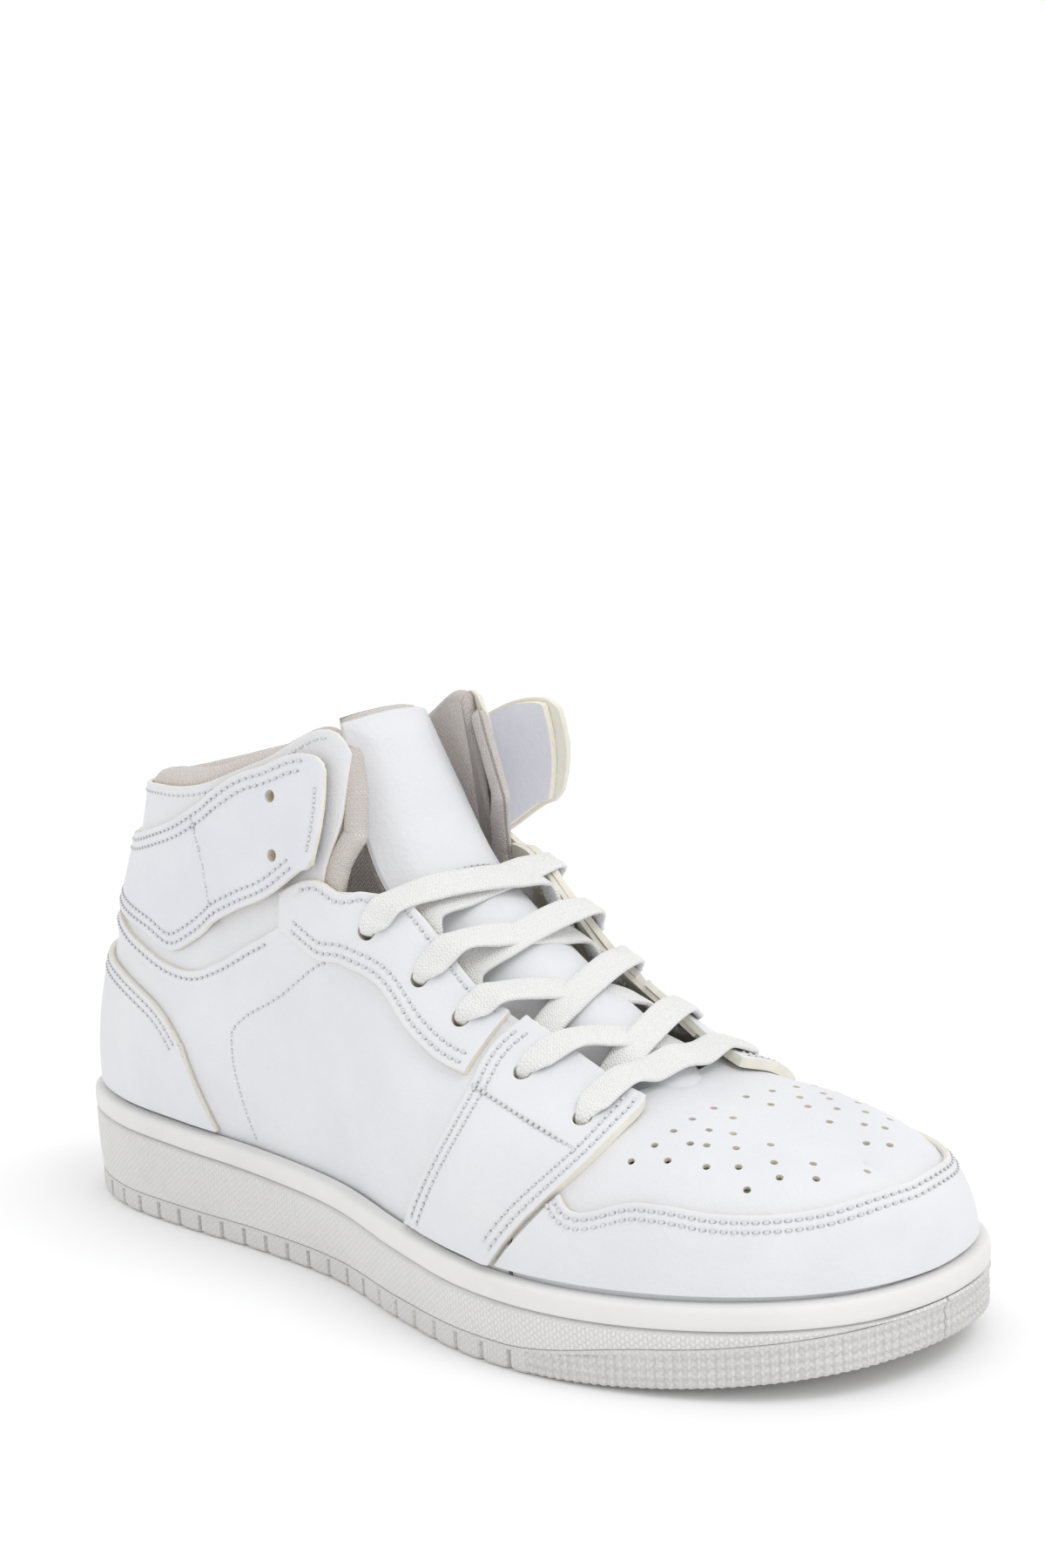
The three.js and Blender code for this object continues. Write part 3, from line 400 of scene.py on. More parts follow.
# ---------------------------------------------------------------- meshes
def grid_faces(rows, cols, start=0, around=False):
    """Four-sided faces between the neighbours of a grid of rows by cols points; with around, the last
    column also joins the first."""
    i, j = np.meshgrid(np.arange(rows - 1), np.arange(cols if around else cols - 1), indexing="ij")
    k = (j + 1) % cols
    corners = i * cols + j, (i + 1) * cols + j, (i + 1) * cols + k, i * cols + k
    return (start + np.stack(corners, -1)).reshape(-1, 4)


def volume(points, quads):
    """Six times the volume inside closed four-sided faces: the sum of each triangle's box product."""
    a, b, c, d = (points[quads[:, k]] for k in range(4))
    return (a * (np.cross(b, c) + np.cross(c, d))).sum()


def outwards(points, quads):
    """The faces of a closed solid, turned to face out of it."""
    return quads[:, ::-1] if volume(points, quads) < 0 else quads


def make(name, points, quads, material, body=None, uv=None, tri=None, marks=None, merge=True):
    """A mesh of four-sided faces (and three-sided ones, in tri) from points in millimetres, with a UV
    map in millimetres and any per-point marks."""
    points, quads = np.asarray(points, float), np.asarray(quads)
    tri = np.zeros((0, 3), int) if tri is None else np.asarray(tri)
    mesh = bpy.data.meshes.new(name)
    mesh.vertices.add(len(points))
    mesh.vertices.foreach_set("co", (points / 1000).astype(np.float32).ravel())
    corner = np.concatenate([quads.ravel(), tri.ravel()]).astype(np.int32)
    starts = np.concatenate([np.arange(len(quads)) * 4, 4 * len(quads) + np.arange(len(tri)) * 3])
    mesh.loops.add(len(corner))
    mesh.loops.foreach_set("vertex_index", corner)
    mesh.polygons.add(len(starts))
    mesh.polygons.foreach_set("loop_start", starts.astype(np.int32))
    mesh.polygons.foreach_set("use_smooth", np.ones(len(starts), bool))
    mesh.update(calc_edges=True)
    if uv is not None:
        layer = mesh.uv_layers.new(name="cloth")
        layer.data.foreach_set("uv", np.asarray(uv, np.float32)[corner].ravel())
    for mark, values in (marks or {}).items():
        layer = mesh.attributes.new(mark, "FLOAT", "POINT")
        layer.data.foreach_set("value", np.asarray(values, np.float32).ravel())
    mesh.validate()
    if merge:
        work = bmesh.new()
        work.from_mesh(mesh)
        bmesh.ops.remove_doubles(work, verts=work.verts, dist=2e-6)
        bmesh.ops.dissolve_degenerate(work, edges=work.edges, dist=1e-7)
        work.to_mesh(mesh)
        work.free()
    mesh.materials.append(material)
    piece = bpy.data.objects.new(name, mesh)
    bpy.context.scene.collection.objects.link(piece)
    if body:
        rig.ride(piece, body)
    return piece


def thick_sheet(name, top, under, material, body, uv, marks=None, folded=False):
    """A closed sheet between two grids of points: its top, its underside and a wall round its edge.
    With folded, the two halves of the first row lie on each other and need no wall."""
    rows, cols = top.shape[:2]
    n = rows * cols
    up, down = grid_faces(rows, cols), grid_faces(rows, cols, n)[:, ::-1]
    across, left = np.arange(cols), np.arange(rows - 2, 0, -1) * cols
    ring = np.concatenate([across, np.arange(2, rows) * cols - 1, n - 1 - across, left])
    after = np.roll(ring, -1)
    if folded:
        ring, after = ring[cols - 1 :], after[cols - 1 :]
    quads = np.vstack([up, down, np.stack([ring, after, after + n, ring + n], -1)])
    points = np.vstack([top.reshape(-1, 3), under.reshape(-1, 3)])
    marks = {k: np.concatenate([v.ravel(), w.ravel()]) for k, (v, w) in (marks or {}).items()}
    uv = np.vstack([uv.reshape(-1, 2)] * 2)
    return make(name, points, outwards(points, quads), material, body, uv, marks=marks)


def closed_tube(name, points, material, body, across, along):
    """A closed solid of rings of points. Each end ring is capped by a ladder of faces between its two
    halves. across and along are its UV map."""
    rows, cols = points.shape[:2]
    k = np.arange(cols // 2 - 1)
    cap = np.stack([k, k + 1, cols - 2 - k, cols - 1 - k], -1)
    quads = np.vstack([grid_faces(rows, cols, around=True), cap[:, ::-1], cap + (rows - 1) * cols])
    points = points.reshape(-1, 3)
    uv = np.stack(np.broadcast_arrays(across, along), -1).reshape(-1, 2)
    return make(name, points, outwards(points, quads), material, body, uv, merge=False)


def share_rows(length, step, count=None):
    """Shares from 0 to 1 along lines of the given lengths: fine rows at fixed distances in from both
    ends, and even ones a step apart between them."""
    length = np.atleast_1d(length).astype(float)
    near = np.outer(FINE, np.minimum(1, 0.48 * length / FINE[-1]) / length)
    count = count or max(int((length.mean() - 2 * FINE[-1]) / step), 2)
    even = np.linspace(0, 1, count + 1)[1:-1]
    middle = near[-1] + even[:, None] * (1 - 2 * near[-1])
    return np.concatenate([near, middle, 1 - near[::-1]])


def line_lengths(place, other, along_u):
    """Lengths of a region's lines at the given shares of the other direction."""
    u = np.linspace(0, 1, 60)
    a, b = (u[:, None], other[None]) if along_u else (other[None], u[:, None])
    p = skin(*place(*np.broadcast_arrays(a, b)))
    return np.linalg.norm(np.diff(p, axis=0), axis=-1).sum(0)


FINE = np.array([0, 0.1, 0.28, 0.55, 1.0, 1.6, 2.2, 2.8, 3.5, 4.2, 4.8, 5.5])


def nearest(points, path):
    """Distance from each point to the nearest point of a path."""
    flat = points.reshape(-1, 3)
    best = np.full(len(flat), 1e9)
    for part in np.array_split(path, max(1, len(path) // 60)):
        best = np.minimum(best, ((flat[:, None] - part[None]) ** 2).sum(-1).min(1))
    return np.sqrt(best).reshape(points.shape[:-1])


def dense(line, gap=0.6):
    """A line (side, s, t) as points on the skin, a gap apart."""
    p = skin(*line)
    run = lengths(p)
    return follow(p, run, np.linspace(0, run[-1], max(int(run[-1] / gap), 2)))


def crown(grid, v):
    """A dome's grid evened out near its middle line: each point there moves to the mean of its two
    neighbours across, many times over."""
    near = np.exp(-(((2 * v - 1) / 0.22) ** 2))[:, 1:-1, None]
    grid = grid.copy()
    for _ in range(90):
        grid[:, 1:-1] += near * (grid[:, :-2] / 2 + grid[:, 2:] / 2 - grid[:, 1:-1]) * 0.9
    return grid


def leather(
    name, place, low, high, material, body, step=2.2, rims=(), seams=(), roll=0.45, swell=None,
    folded=False, lined=False,
):  # fmt: skip
    """A panel over a region of the skin, from height low to high above it, which are numbers or
    functions of (s, t). Its top rolls down in a quarter circle at the rims, dips along the seams'
    stitch lines as a bell curve of the distance, and rises by the swell."""
    v0 = share_rows(line_lengths(place, np.array([0.5]), False).mean(), step)[:, 0]
    u = share_rows(line_lengths(place, v0, True), step)
    v = share_rows(line_lengths(place, u.mean(1), False), step, len(v0) - 2 * len(FINE) + 1).T
    side, s, t = place(u, v)
    base, normal = skin(side, s, t), skin_normal(side, s, t)
    if folded:
        base, normal = crown(base, v), unit(crown(normal, v))
    edge = np.full(s.shape, 30.0)
    for rim in rims:
        edge = np.minimum(edge, nearest(base, dense(rim, 0.4)))
    level = lambda height: height(s, t) if callable(height) else np.full(s.shape, float(height))
    inner = np.clip(edge / roll, 0, 1)
    top = level(high) - roll * (1 - np.sqrt(1 - (1 - inner) ** 2))
    for seam in seams:
        top = top - 0.26 * np.exp(-((nearest(base, dense(seam)) / 0.55) ** 2))
    if swell is not None:
        top = top + swell(s, t)
    points = base + normal * top[..., None]
    under = base + normal * level(low)[..., None]
    run = np.cumsum(np.linalg.norm(np.diff(base, axis=0, prepend=base[:1]), axis=-1), 0)
    rise = np.cumsum(np.linalg.norm(np.diff(base, axis=1, prepend=base[:, :1]), axis=-1), 1)
    marks = {"edge": (edge, edge if lined else np.zeros_like(edge))}
    return thick_sheet(name, points, under, material, body, np.stack([run, rise], -1), marks, folded)


# ---------------------------------------------------------------- stitches and holes
def full_line(line):
    """A line (side, s, t) with each of its three as long as its s."""
    return (np.asarray(v, float) * np.ones(len(line[1])) for v in line)


def inset(line, distance):
    """A line moved across itself on the skin: the step in s and t whose step in space is the distance
    along the skin, square to the line, found from the skin's two slopes."""
    side, s, t = full_line(line)
    p, n = skin(side, s, t), skin_normal(side, s, t)
    along = unit(np.gradient(p, axis=0))
    want = np.cross(n, along) * np.asarray(distance, float).reshape(-1, 1)
    e = 1e-3
    ds = (skin(side, s + e, t) - skin(side, s - e, t)) / (2 * e)
    dt = (skin(side, s, t + e) - skin(side, s, t - e)) / (2 * e)
    a, b, c = (ds * ds).sum(-1), (ds * dt).sum(-1), (dt * dt).sum(-1)
    x, y = (ds * want).sum(-1), (dt * want).sum(-1)
    det = a * c - b * b
    return side, s + (c * x - b * y) / det, t + (a * y - b * x) / det


def stitch_shape():
    """One stitch lying along +X, 1 long: an oval cord of six-sided rings, thin and sunk at its ends."""
    x = np.array([-0.5, -0.42, -0.2, 0.2, 0.42, 0.5])
    size = np.array([0.25, 0.75, 1, 1, 0.75, 0.25])
    drop = np.array([-0.8, -0.25, 0.1, 0.1, -0.25, -0.8])
    turn = np.arange(6) * np.pi / 3
    ring = np.stack([np.cos(turn), np.sin(turn)], -1)
    p = np.empty((6, 6, 3))
    p[..., 0] = x[:, None]
    p[..., 1:] = ring[None] * size[:, None, None]
    p[..., 2] += drop[:, None]
    return p.reshape(-1, 3), grid_faces(6, 6, around=True)


def sew(name, paths, body, pitch=2.5, long=1.9, wide=0.42, tall=0.34):
    """Rows of stitches: one stitch shape at each pitch along every path, turned along it. A path is
    its points and the surface's outward directions there."""
    shape, quads = stitch_shape()
    size, last = len(shape), len(shape) - 6
    points, faces, count = [], [], 0
    for path, up in paths:
        run = lengths(path)
        at = np.arange(pitch / 2, run[-1] - pitch / 3, pitch)
        centre, normal = follow(path, run, at), unit(follow(up, run, at))
        along = unit(follow(path, run, at + 0.6) - follow(path, run, at - 0.6))
        normal = unit(normal - along * (normal * along).sum(-1, keepdims=True))
        across = np.cross(normal, along)
        local = shape[None] * (long, wide, tall)
        placed = centre[:, None] + local[..., :1] * along[:, None] + local[..., 1:2] * across[:, None]
        placed = placed + (local[..., 2:] + 0.06) * normal[:, None]
        start = count + np.arange(len(at)) * size
        points.append(placed.reshape(-1, 3))
        faces.append((quads[None] + start[:, None, None]).reshape(-1, 4))
        count += len(at) * size
    first = np.arange(0, count, size)[:, None]
    caps = [first + np.array([k]) for k in ((0, 1, 2, 3), (0, 3, 4, 5))]
    caps += [first + last + np.array([k]) for k in ((3, 2, 1, 0), (5, 4, 3, 0))]
    points, faces = np.vstack(points), np.vstack(faces + caps)
    # tip is 1 at each stitch's sunk ends: it masks painted shade there, standing in for the dark of the needle holes
    tip = np.tile(np.repeat([1.0, 0.6, 0, 0, 0.6, 1.0], 6), count // size)
    faces = outwards(points, faces)
    piece = make(name, points, faces, thread, body, marks={"tip": tip}, merge=False)
    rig.slot(piece, "lace")
    return piece


def seam_path(line, height):
    """A line (side, s, t) as points at a height above the skin, with the outward directions. The
    height is a number or one for each point."""
    side, s, t = full_line(line)
    n = skin_normal(side, s, t)
    return skin(side, s, t) + n * np.reshape(height * np.ones(len(s)), (-1, 1)), n


def punch(piece, centres, directions, radius, reach=6):
    """Round holes through a piece: each is a 20-sided cutter along its direction, taken away exactly."""
    turn = np.arange(20) * np.pi / 10
    points, faces = [], []
    for k, (c, d) in enumerate(zip(centres, directions)):
        a = unit(np.cross(d, [0.3, 0.9, 0.1]))
        b = np.cross(d, a)
        ring = (np.cos(turn)[:, None] * a + np.sin(turn)[:, None] * b) * radius
        points += list(c + ring - d * reach) + list(c + ring + d * reach)
        one, other = 40 * k, 40 * k + 20
        faces += [[one + i, one + (i + 1) % 20, other + (i + 1) % 20, other + i] for i in range(20)]
        faces += [[one + i for i in range(19, -1, -1)], [other + i for i in range(20)]]
    mesh = bpy.data.meshes.new("punch")
    mesh.from_pydata([tuple(np.asarray(p) / 1000) for p in points], [], faces)
    tool = bpy.data.objects.new("punch", mesh)
    bpy.context.scene.collection.objects.link(tool)
    cut = piece.modifiers.new("holes", "BOOLEAN")
    cut.operation, cut.solver, cut.object = "DIFFERENCE", "EXACT", tool
    scene_now = bpy.context.evaluated_depsgraph_get()
    done = bpy.data.meshes.new_from_object(piece.evaluated_get(scene_now))
    piece.modifiers.clear()
    piece.data = done
    bpy.data.objects.remove(tool)
    piece.data.set_sharp_from_angle(angle=0.7)


# ---------------------------------------------------------------- finishes
def group(name, inputs, outputs):
    """A shader node group with float inputs, given as name to default, and float outputs."""
    tree = bpy.data.node_groups.new(name, "ShaderNodeTree")
    for key, value in inputs.items():
        tree.interface.new_socket(key, in_out="INPUT", socket_type="NodeSocketFloat").default_value = value
    for key in outputs:
        tree.interface.new_socket(key, in_out="OUTPUT", socket_type="NodeSocketFloat")
    return tree, tree.nodes.new("NodeGroupInput").outputs, tree.nodes.new("NodeGroupOutput").inputs


def node(tree, kind, inputs=(), **settings):
    """A node with its settings, whose inputs, keyed by place or name, are sockets or plain values."""
    made = tree.nodes.new(kind)
    for key, value in settings.items():
        setattr(made, key, value)
    for key, value in dict(inputs).items():
        if isinstance(value, bpy.types.NodeSocket):
            tree.links.new(value, made.inputs[key])
        else:
            made.inputs[key].default_value = value
    return made


def calc(tree, operation, a, b=0.0, c=0.0):
    """One step of arithmetic on sockets or numbers."""
    return node(tree, "ShaderNodeMath", {0: a, 1: b, 2: c}, operation=operation).outputs[0]


def object_place(tree):
    return node(tree, "ShaderNodeTexCoord").outputs["Object"]


def cloth_place(tree):
    """Distances across and along the cloth map, in millimetres."""
    flat = node(tree, "ShaderNodeUVMap", uv_map="cloth").outputs[0]
    return node(tree, "ShaderNodeSeparateXYZ", {0: flat}).outputs


def noise(tree, scale, output="Fac", **inputs):
    """A noise from 0 to 1 over the object's coordinates, with scale waves in a metre."""
    inputs = {"Vector": object_place(tree), "Scale": scale, **inputs}
    return node(tree, "ShaderNodeTexNoise", inputs).outputs[output]


def leather_grain():
    """Hair-cell grain: rounded cells in two sizes with soft valleys, under slow dents. Tone drifts
    slowly over the hide."""
    tree, given, result = group("leather_grain", {"Cells per metre": 900, "Depth": 1}, ("Height", "Tone"))
    warp = {0: noise(tree, 260.0, "Color", Detail=2.0), 1: (0.0016,) * 3}
    bent = node(tree, "ShaderNodeVectorMath", warp, operation="MULTIPLY").outputs[0]
    moved = node(tree, "ShaderNodeVectorMath", {0: object_place(tree), 1: bent}, operation="ADD").outputs[0]

    def cells(scale, smoothness):
        inputs = {"Vector": moved, "Scale": scale, "Smoothness": smoothness}
        return node(tree, "ShaderNodeTexVoronoi", inputs, feature="SMOOTH_F1").outputs["Distance"]

    wide = calc(tree, "MULTIPLY", given[0], 0.42)
    height = calc(tree, "MULTIPLY_ADD", cells(given[0], 0.6), -0.6, 0.5)
    height = calc(tree, "MULTIPLY_ADD", cells(wide, 0.8), -0.5, height)
    height = calc(tree, "MULTIPLY_ADD", noise(tree, 95.0, Detail=3.0), 0.8, height)
    tree.links.new(calc(tree, "MULTIPLY", height, given[1]), result[0])
    tree.links.new(noise(tree, 34.0, Detail=4.0, Roughness=0.6), result[1])
    return tree


def knit_loops():
    """Rows of V-shaped loops over the cloth map: each wale is an arch across, and its rows rise to
    either side of its middle. Yarn is 1 on a loop and 0 between loops."""
    sizes = {"Wale mm": 1.5, "Row mm": 1.1, "Slant": 0.5}
    tree, given, result = group("knit_loops", sizes, ("Height", "Yarn"))
    do, full_turn = lambda *step: calc(tree, *step), 6.28318
    flat = cloth_place(tree)
    off = do("ABSOLUTE", do("SUBTRACT", do("FRACT", do("DIVIDE", flat[0], given[0])), 0.5))
    rise = do("MULTIPLY", off, do("MULTIPLY", given[2], 4.0))
    row = do("ADD", do("DIVIDE", flat[1], given[1]), rise)
    wave = do("MULTIPLY_ADD", do("SINE", do("MULTIPLY", row, full_turn)), 0.5, 0.5)
    arch = do("MAXIMUM", do("SINE", do("MULTIPLY", off, full_turn)), 0.0)
    loops = do("MULTIPLY", wave, do("POWER", arch, 0.5))
    tree.links.new(do("MULTIPLY_ADD", noise(tree, 2600.0), 0.35, loops), result[0])
    tree.links.new(loops, result[1])
    return tree


def rice_grains():
    """Staggered slanting grains over the cloth map: each is an oval hump in its cell, and every other
    column is moved up by half a cell and slants the other way."""
    tree, given, result = group("rice_grains", {"Pitch mm": 1.15, "Tall mm": 1.7}, ("Height",))
    do = lambda *step: calc(tree, *step)
    flat = cloth_place(tree)
    column = do("DIVIDE", flat[0], given[0])
    odd = do("ABSOLUTE", do("MODULO", do("FLOOR", column), 2.0))
    x = do("SUBTRACT", do("FRACT", column), 0.5)
    shifted = do("MULTIPLY_ADD", odd, 0.5, do("DIVIDE", flat[1], given[1]))
    y = do("SUBTRACT", do("FRACT", shifted), 0.5)
    x = do("MULTIPLY_ADD", y, do("MULTIPLY", do("SUBTRACT", odd, 0.5), 0.5), x)
    power = lambda far: do("POWER", do("ABSOLUTE", do("MULTIPLY", far, 2.1)), 2.4)
    inside = do("SUBTRACT", 1.0, do("ADD", power(x), power(y)))
    tree.links.new(do("SQRT", do("MAXIMUM", inside, 0.0)), result[0])
    return tree


def handling():
    """Faint greying: 1 in soft patches where a shoe is handled, by two noises multiplied."""
    tree, given, result = group("handling", {"Patches per metre": 14, "Amount": 1}, ("Grey",))
    big = calc(tree, "SUBTRACT", noise(tree, given[0], Detail=2.0), 0.45)
    small = noise(tree, 320.0, Detail=5.0, Roughness=0.7)
    both = calc(tree, "MULTIPLY", calc(tree, "MAXIMUM", big, 0.0), small)
    tree.links.new(calc(tree, "MULTIPLY", both, given[1]), result[0])
    return tree


GRAIN, KNIT, RICE, HANDLING = leather_grain(), knit_loops(), rice_grains(), handling()


def use(tree, kept, **values):
    """Places a node group in a material with its own values."""
    made = tree.nodes.new("ShaderNodeGroup")
    made.node_tree = kept
    for key, value in values.items():
        made.inputs[key.replace("_", " ")].default_value = value
    return made.outputs


def start(name, roughness, specular=0.5, sheen=0.0):
    """A material with one principled shader, whose plain numbers sit on its own sockets."""
    material = bpy.data.materials.new(name)
    material.use_nodes = True
    tree = material.node_tree
    tree.nodes.clear()
    plain = {"Roughness": roughness, "Specular IOR Level": specular, "Sheen Weight": sheen}
    shader = node(tree, "ShaderNodeBsdfPrincipled", plain)
    if sheen:
        shader.inputs["Sheen Roughness"].default_value = 0.4
    node(tree, "ShaderNodeOutputMaterial", {"Surface": shader.outputs[0]})
    return material, tree, shader


def blend_colour(tree, factor, a, b):
    """Colour a where the factor is 0, b where it is 1."""
    made = node(tree, "ShaderNodeMix", {"Factor": factor}, data_type="RGBA")
    for key, value in ((6, a), (7, b)):
        if isinstance(value, bpy.types.NodeSocket):
            tree.links.new(value, made.inputs[key])
        else:
            made.inputs[key].default_value = (*value, 1)
    return made.outputs[2]


def paint(tree, shader, factor, a, b):
    tree.links.new(blend_colour(tree, factor, a, b), shader.inputs["Base Color"])


def mark(tree, name):
    return node(tree, "ShaderNodeAttribute", attribute_name=name).outputs["Fac"]


def remap(tree, value, *ends):
    """A value stretched evenly from the first two ends to the last two."""
    return node(tree, "ShaderNodeMapRange", {"Value": value, **dict(enumerate(ends, 1))}).outputs[0]


def raise_by(tree, shader, height, strength, distance):
    bump = node(tree, "ShaderNodeBump", {"Strength": strength, "Distance": distance, "Height": height})
    tree.links.new(bump.outputs[0], shader.inputs["Normal"])


def white_leather(
    name, colour=(0.76, 0.765, 0.785), shade=(0.715, 0.72, 0.75), cells=880.0, raw=(0.80, 0.77, 0.68)
):
    """Coated split leather: fine grain, a slow drift in tone, faint greying, and a cream raw edge
    where the panel is cut."""
    material, tree, shader = start(name, 0.4, 0.45)
    grain = use(tree, GRAIN, Cells_per_metre=cells)
    hide = blend_colour(tree, remap(tree, grain[1], 0.35, 0.7), shade, colour)
    hide = blend_colour(tree, use(tree, HANDLING, Amount=0.9)[0], hide, (0.6, 0.6, 0.6))
    cut = remap(tree, mark(tree, "edge"), 0.06, 0.3, 1.0, 0.0)
    paint(tree, shader, cut, hide, raw)
    rough = remap(tree, grain[0], 0.2, 1.1, 0.52, 0.38)
    tree.links.new(calc(tree, "MULTIPLY_ADD", cut, 0.35, rough), shader.inputs["Roughness"])
    raise_by(tree, shader, grain[0], 0.6, 0.0002)
    return material


def knit_cloth(name, colour, dark, wale, row, depth=0.00035, slant=0.5, sheen=0.3):
    """Knitted or woven yarn: V loops in relief, darker between them as painted shade, with a soft sheen."""
    material, tree, shader = start(name, 0.85, 0.25, sheen)
    loops = use(tree, KNIT, Wale_mm=wale, Row_mm=row, Slant=slant)
    grey = use(tree, HANDLING, Patches_per_metre=30.0, Amount=1.2)[0]
    # painted shade: the colour falls to the dark one in the gaps between the loops
    yarn = blend_colour(tree, loops[1], dark, colour)
    paint(tree, shader, grey, yarn, tuple(0.8 * c for c in dark))
    raise_by(tree, shader, loops[0], 0.8, depth)
    return material


def rubber(name, colour, dark, strength=0.75, depth=0.00035):
    """Moulded rubber: matt with a fine bloom, and rice grains where the mesh is marked as grained, with painted shade
    darkening the gaps between the grains.
    """
    material, tree, shader = start(name, 0.6, 0.4)
    bloom = noise(tree, 60.0, Detail=5.0)
    zone = mark(tree, "grained")
    grains = calc(tree, "MULTIPLY", use(tree, RICE)[0], zone)
    # painted shade: in grained zones, the gaps between the grains are darkened
    grain_gap_shade = calc(tree, "MULTIPLY", calc(tree, "SUBTRACT", 1.0, grains), calc(tree, "MULTIPLY", zone, 0.35))
    base = blend_colour(tree, grain_gap_shade, blend_colour(tree, bloom, dark, colour), tuple(0.82 * c for c in dark))
    paint(tree, shader, use(tree, HANDLING, Amount=1.4)[0], base, (0.45, 0.44, 0.42))
    tree.links.new(remap(tree, bloom, 0.0, 1.0, 0.52, 0.68), shader.inputs["Roughness"])
    fine = calc(tree, "MULTIPLY", noise(tree, 1500.0, Detail=2.0), 0.12)
    raise_by(tree, shader, calc(tree, "ADD", grains, fine), strength, depth)
    return material


def soft_backing(name, colour, dark):
    """Foam and fibre board: fine crumbs of tone and relief."""
    material, tree, shader = start(name, 0.95, 0.2, 0.2)
    crumbs = noise(tree, 1100.0, Detail=6.0, Roughness=0.75)
    both = calc(tree, "MULTIPLY", calc(tree, "ADD", crumbs, noise(tree, 120.0)), 0.5)
    grey = use(tree, HANDLING, Patches_per_metre=60.0, Amount=1.5)[0]
    paint(tree, shader, grey, blend_colour(tree, both, dark, colour), dark)
    raise_by(tree, shader, crumbs, 0.7, 0.0004)
    return material


def sewing_thread():
    """Bonded thread: two plies twisted round each other, shown by fine slanting bands with painted shade in
    the grooves between them, and painted shade towards each stitch's sunk ends."""
    material, tree, shader = start("sewing_thread", 0.5, 0.5, 0.15)
    bands = {"Vector": object_place(tree), "Scale": 900.0, "Distortion": 1.5}
    plies = node(tree, "ShaderNodeTexWave", bands, bands_direction="DIAGONAL").outputs["Fac"]
    # painted shade: the darker of the two colours marks the grooves between the plies
    yarn = blend_colour(tree, plies, (0.60, 0.60, 0.62), (0.78, 0.78, 0.79))
    # painted shade: the sunk ends of each stitch go nearly black where tip is 1
    paint(tree, shader, mark(tree, "tip"), yarn, (0.16, 0.155, 0.15))
    raise_by(tree, shader, plies, 0.5, 0.0001)
    return material


def drifting(name, roughness, specular, scale, a, b):
    """A smooth material whose colour drifts between two by a noise."""
    material, tree, shader = start(name, roughness, specular)
    paint(tree, shader, noise(tree, scale), a, b)
    return material


leather_white = white_leather("white_leather")
leather_smooth = white_leather("smooth_leather", cells=1100.0)
strap_leather = white_leather("strap_leather", (0.75, 0.757, 0.785), (0.70, 0.71, 0.75))
# The second colour of each knit below is painted shade in the gaps between its loops.
knit_lining = knit_cloth("knit_lining", (0.80, 0.745, 0.715), (0.62, 0.565, 0.535), 1.5, 1.15)
knit_binding = knit_cloth("knit_binding", (0.80, 0.75, 0.72), (0.62, 0.57, 0.54), 1.35, 1.05, 0.0004)
lace_weave = knit_cloth("lace_weave", (0.92, 0.92, 0.91), (0.84, 0.84, 0.83), 1.4, 0.95, 0.0003, 0.35, 0.15)
# in each rubber, 0.82 of the dark tone is painted shade in the gaps between the rice grains
sole_side = rubber("sole_side", (0.80, 0.795, 0.785), (0.735, 0.73, 0.72))
sole_tread = rubber("sole_tread", (0.71, 0.70, 0.685), (0.65, 0.64, 0.625), 0.6, 0.0003)
strap_lining = white_leather("strap_lining", (0.74, 0.75, 0.79), (0.69, 0.70, 0.75), raw=(0.82, 0.77, 0.62))
foam_yellow = soft_backing("aged_foam", (0.80, 0.735, 0.52), (0.66, 0.58, 0.36))
board_brown = soft_backing("fibre_board", (0.62, 0.56, 0.44), (0.48, 0.42, 0.32))
thread = sewing_thread()
lace_tip = drifting("lace_tip", 0.2, 0.5, 400.0, (0.74, 0.74, 0.72), (0.85, 0.85, 0.84))
paper = drifting("pale_paper", 0.9, 0.0, 30.0, (0.93, 0.93, 0.935), (0.94, 0.94, 0.945))


# ---------------------------------------------------------------- the sole
def stations(gap):
    """Shares of each side, a gap apart along the outline, as one closed list of (side, s): the lateral
    side from the toe, then the medial side back to it."""
    count = int(PERIMETER / 2 / gap)
    lateral = np.linspace(0, 1, count)
    side = np.concatenate([np.full(count, -1.0), np.full(count - 2, 1.0)])
    return side, np.concatenate([lateral, lateral[1:-1][::-1]]), count


def ringed(name, gap, rings, material, pattern=None):
    """A closed solid of rings round the outline. Each ring is its distance in from the outline, its
    height over y and whether it is grained; pattern adds to the distance, over ring, run, y and
    height."""
    side, s, count = stations(gap)
    edge, out = outline(side, s)
    run, y = lengths(edge), edge[:, 1]
    points, grained, flat = [], [], []
    for number, (far, height, grain) in enumerate(rings):
        z = height(y)
        far = far + (pattern(number, run, y, z) if pattern else 0)
        points.append(np.column_stack([edge - out * np.reshape(far * np.ones(len(y)), (-1, 1)), z]))
        grained.append(np.full(len(y), float(grain)))
        flat.append(np.column_stack([run, z]))
    cols, top = len(s), (len(rings) - 1) * len(s)
    i = np.arange(1, count - 2)
    rung = np.stack([i, i + 1, cols - i - 1, cols - i], -1)
    ends = np.array([[0, 1, cols - 1], [count - 2, count - 1, count]])
    quads = np.vstack([grid_faces(len(rings), cols, around=True), rung[:, ::-1], rung + top])
    tri = np.vstack([ends[:, ::-1], ends + top])
    points = np.vstack(points)
    a, b, c = (points[tri[:, k]] for k in range(3))
    if volume(points, quads) + (a * np.cross(b, c)).sum() < 0:
        quads, tri = quads[:, ::-1], tri[:, ::-1]
    marks = {"grained": np.concatenate(grained)}
    piece = make(name, points, quads, material, "shoe", np.vstack(flat), tri, marks, merge=False)
    piece.data.set_sharp_from_angle(angle=0.9)
    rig.slot(piece, "sole_rubber")
    return piece


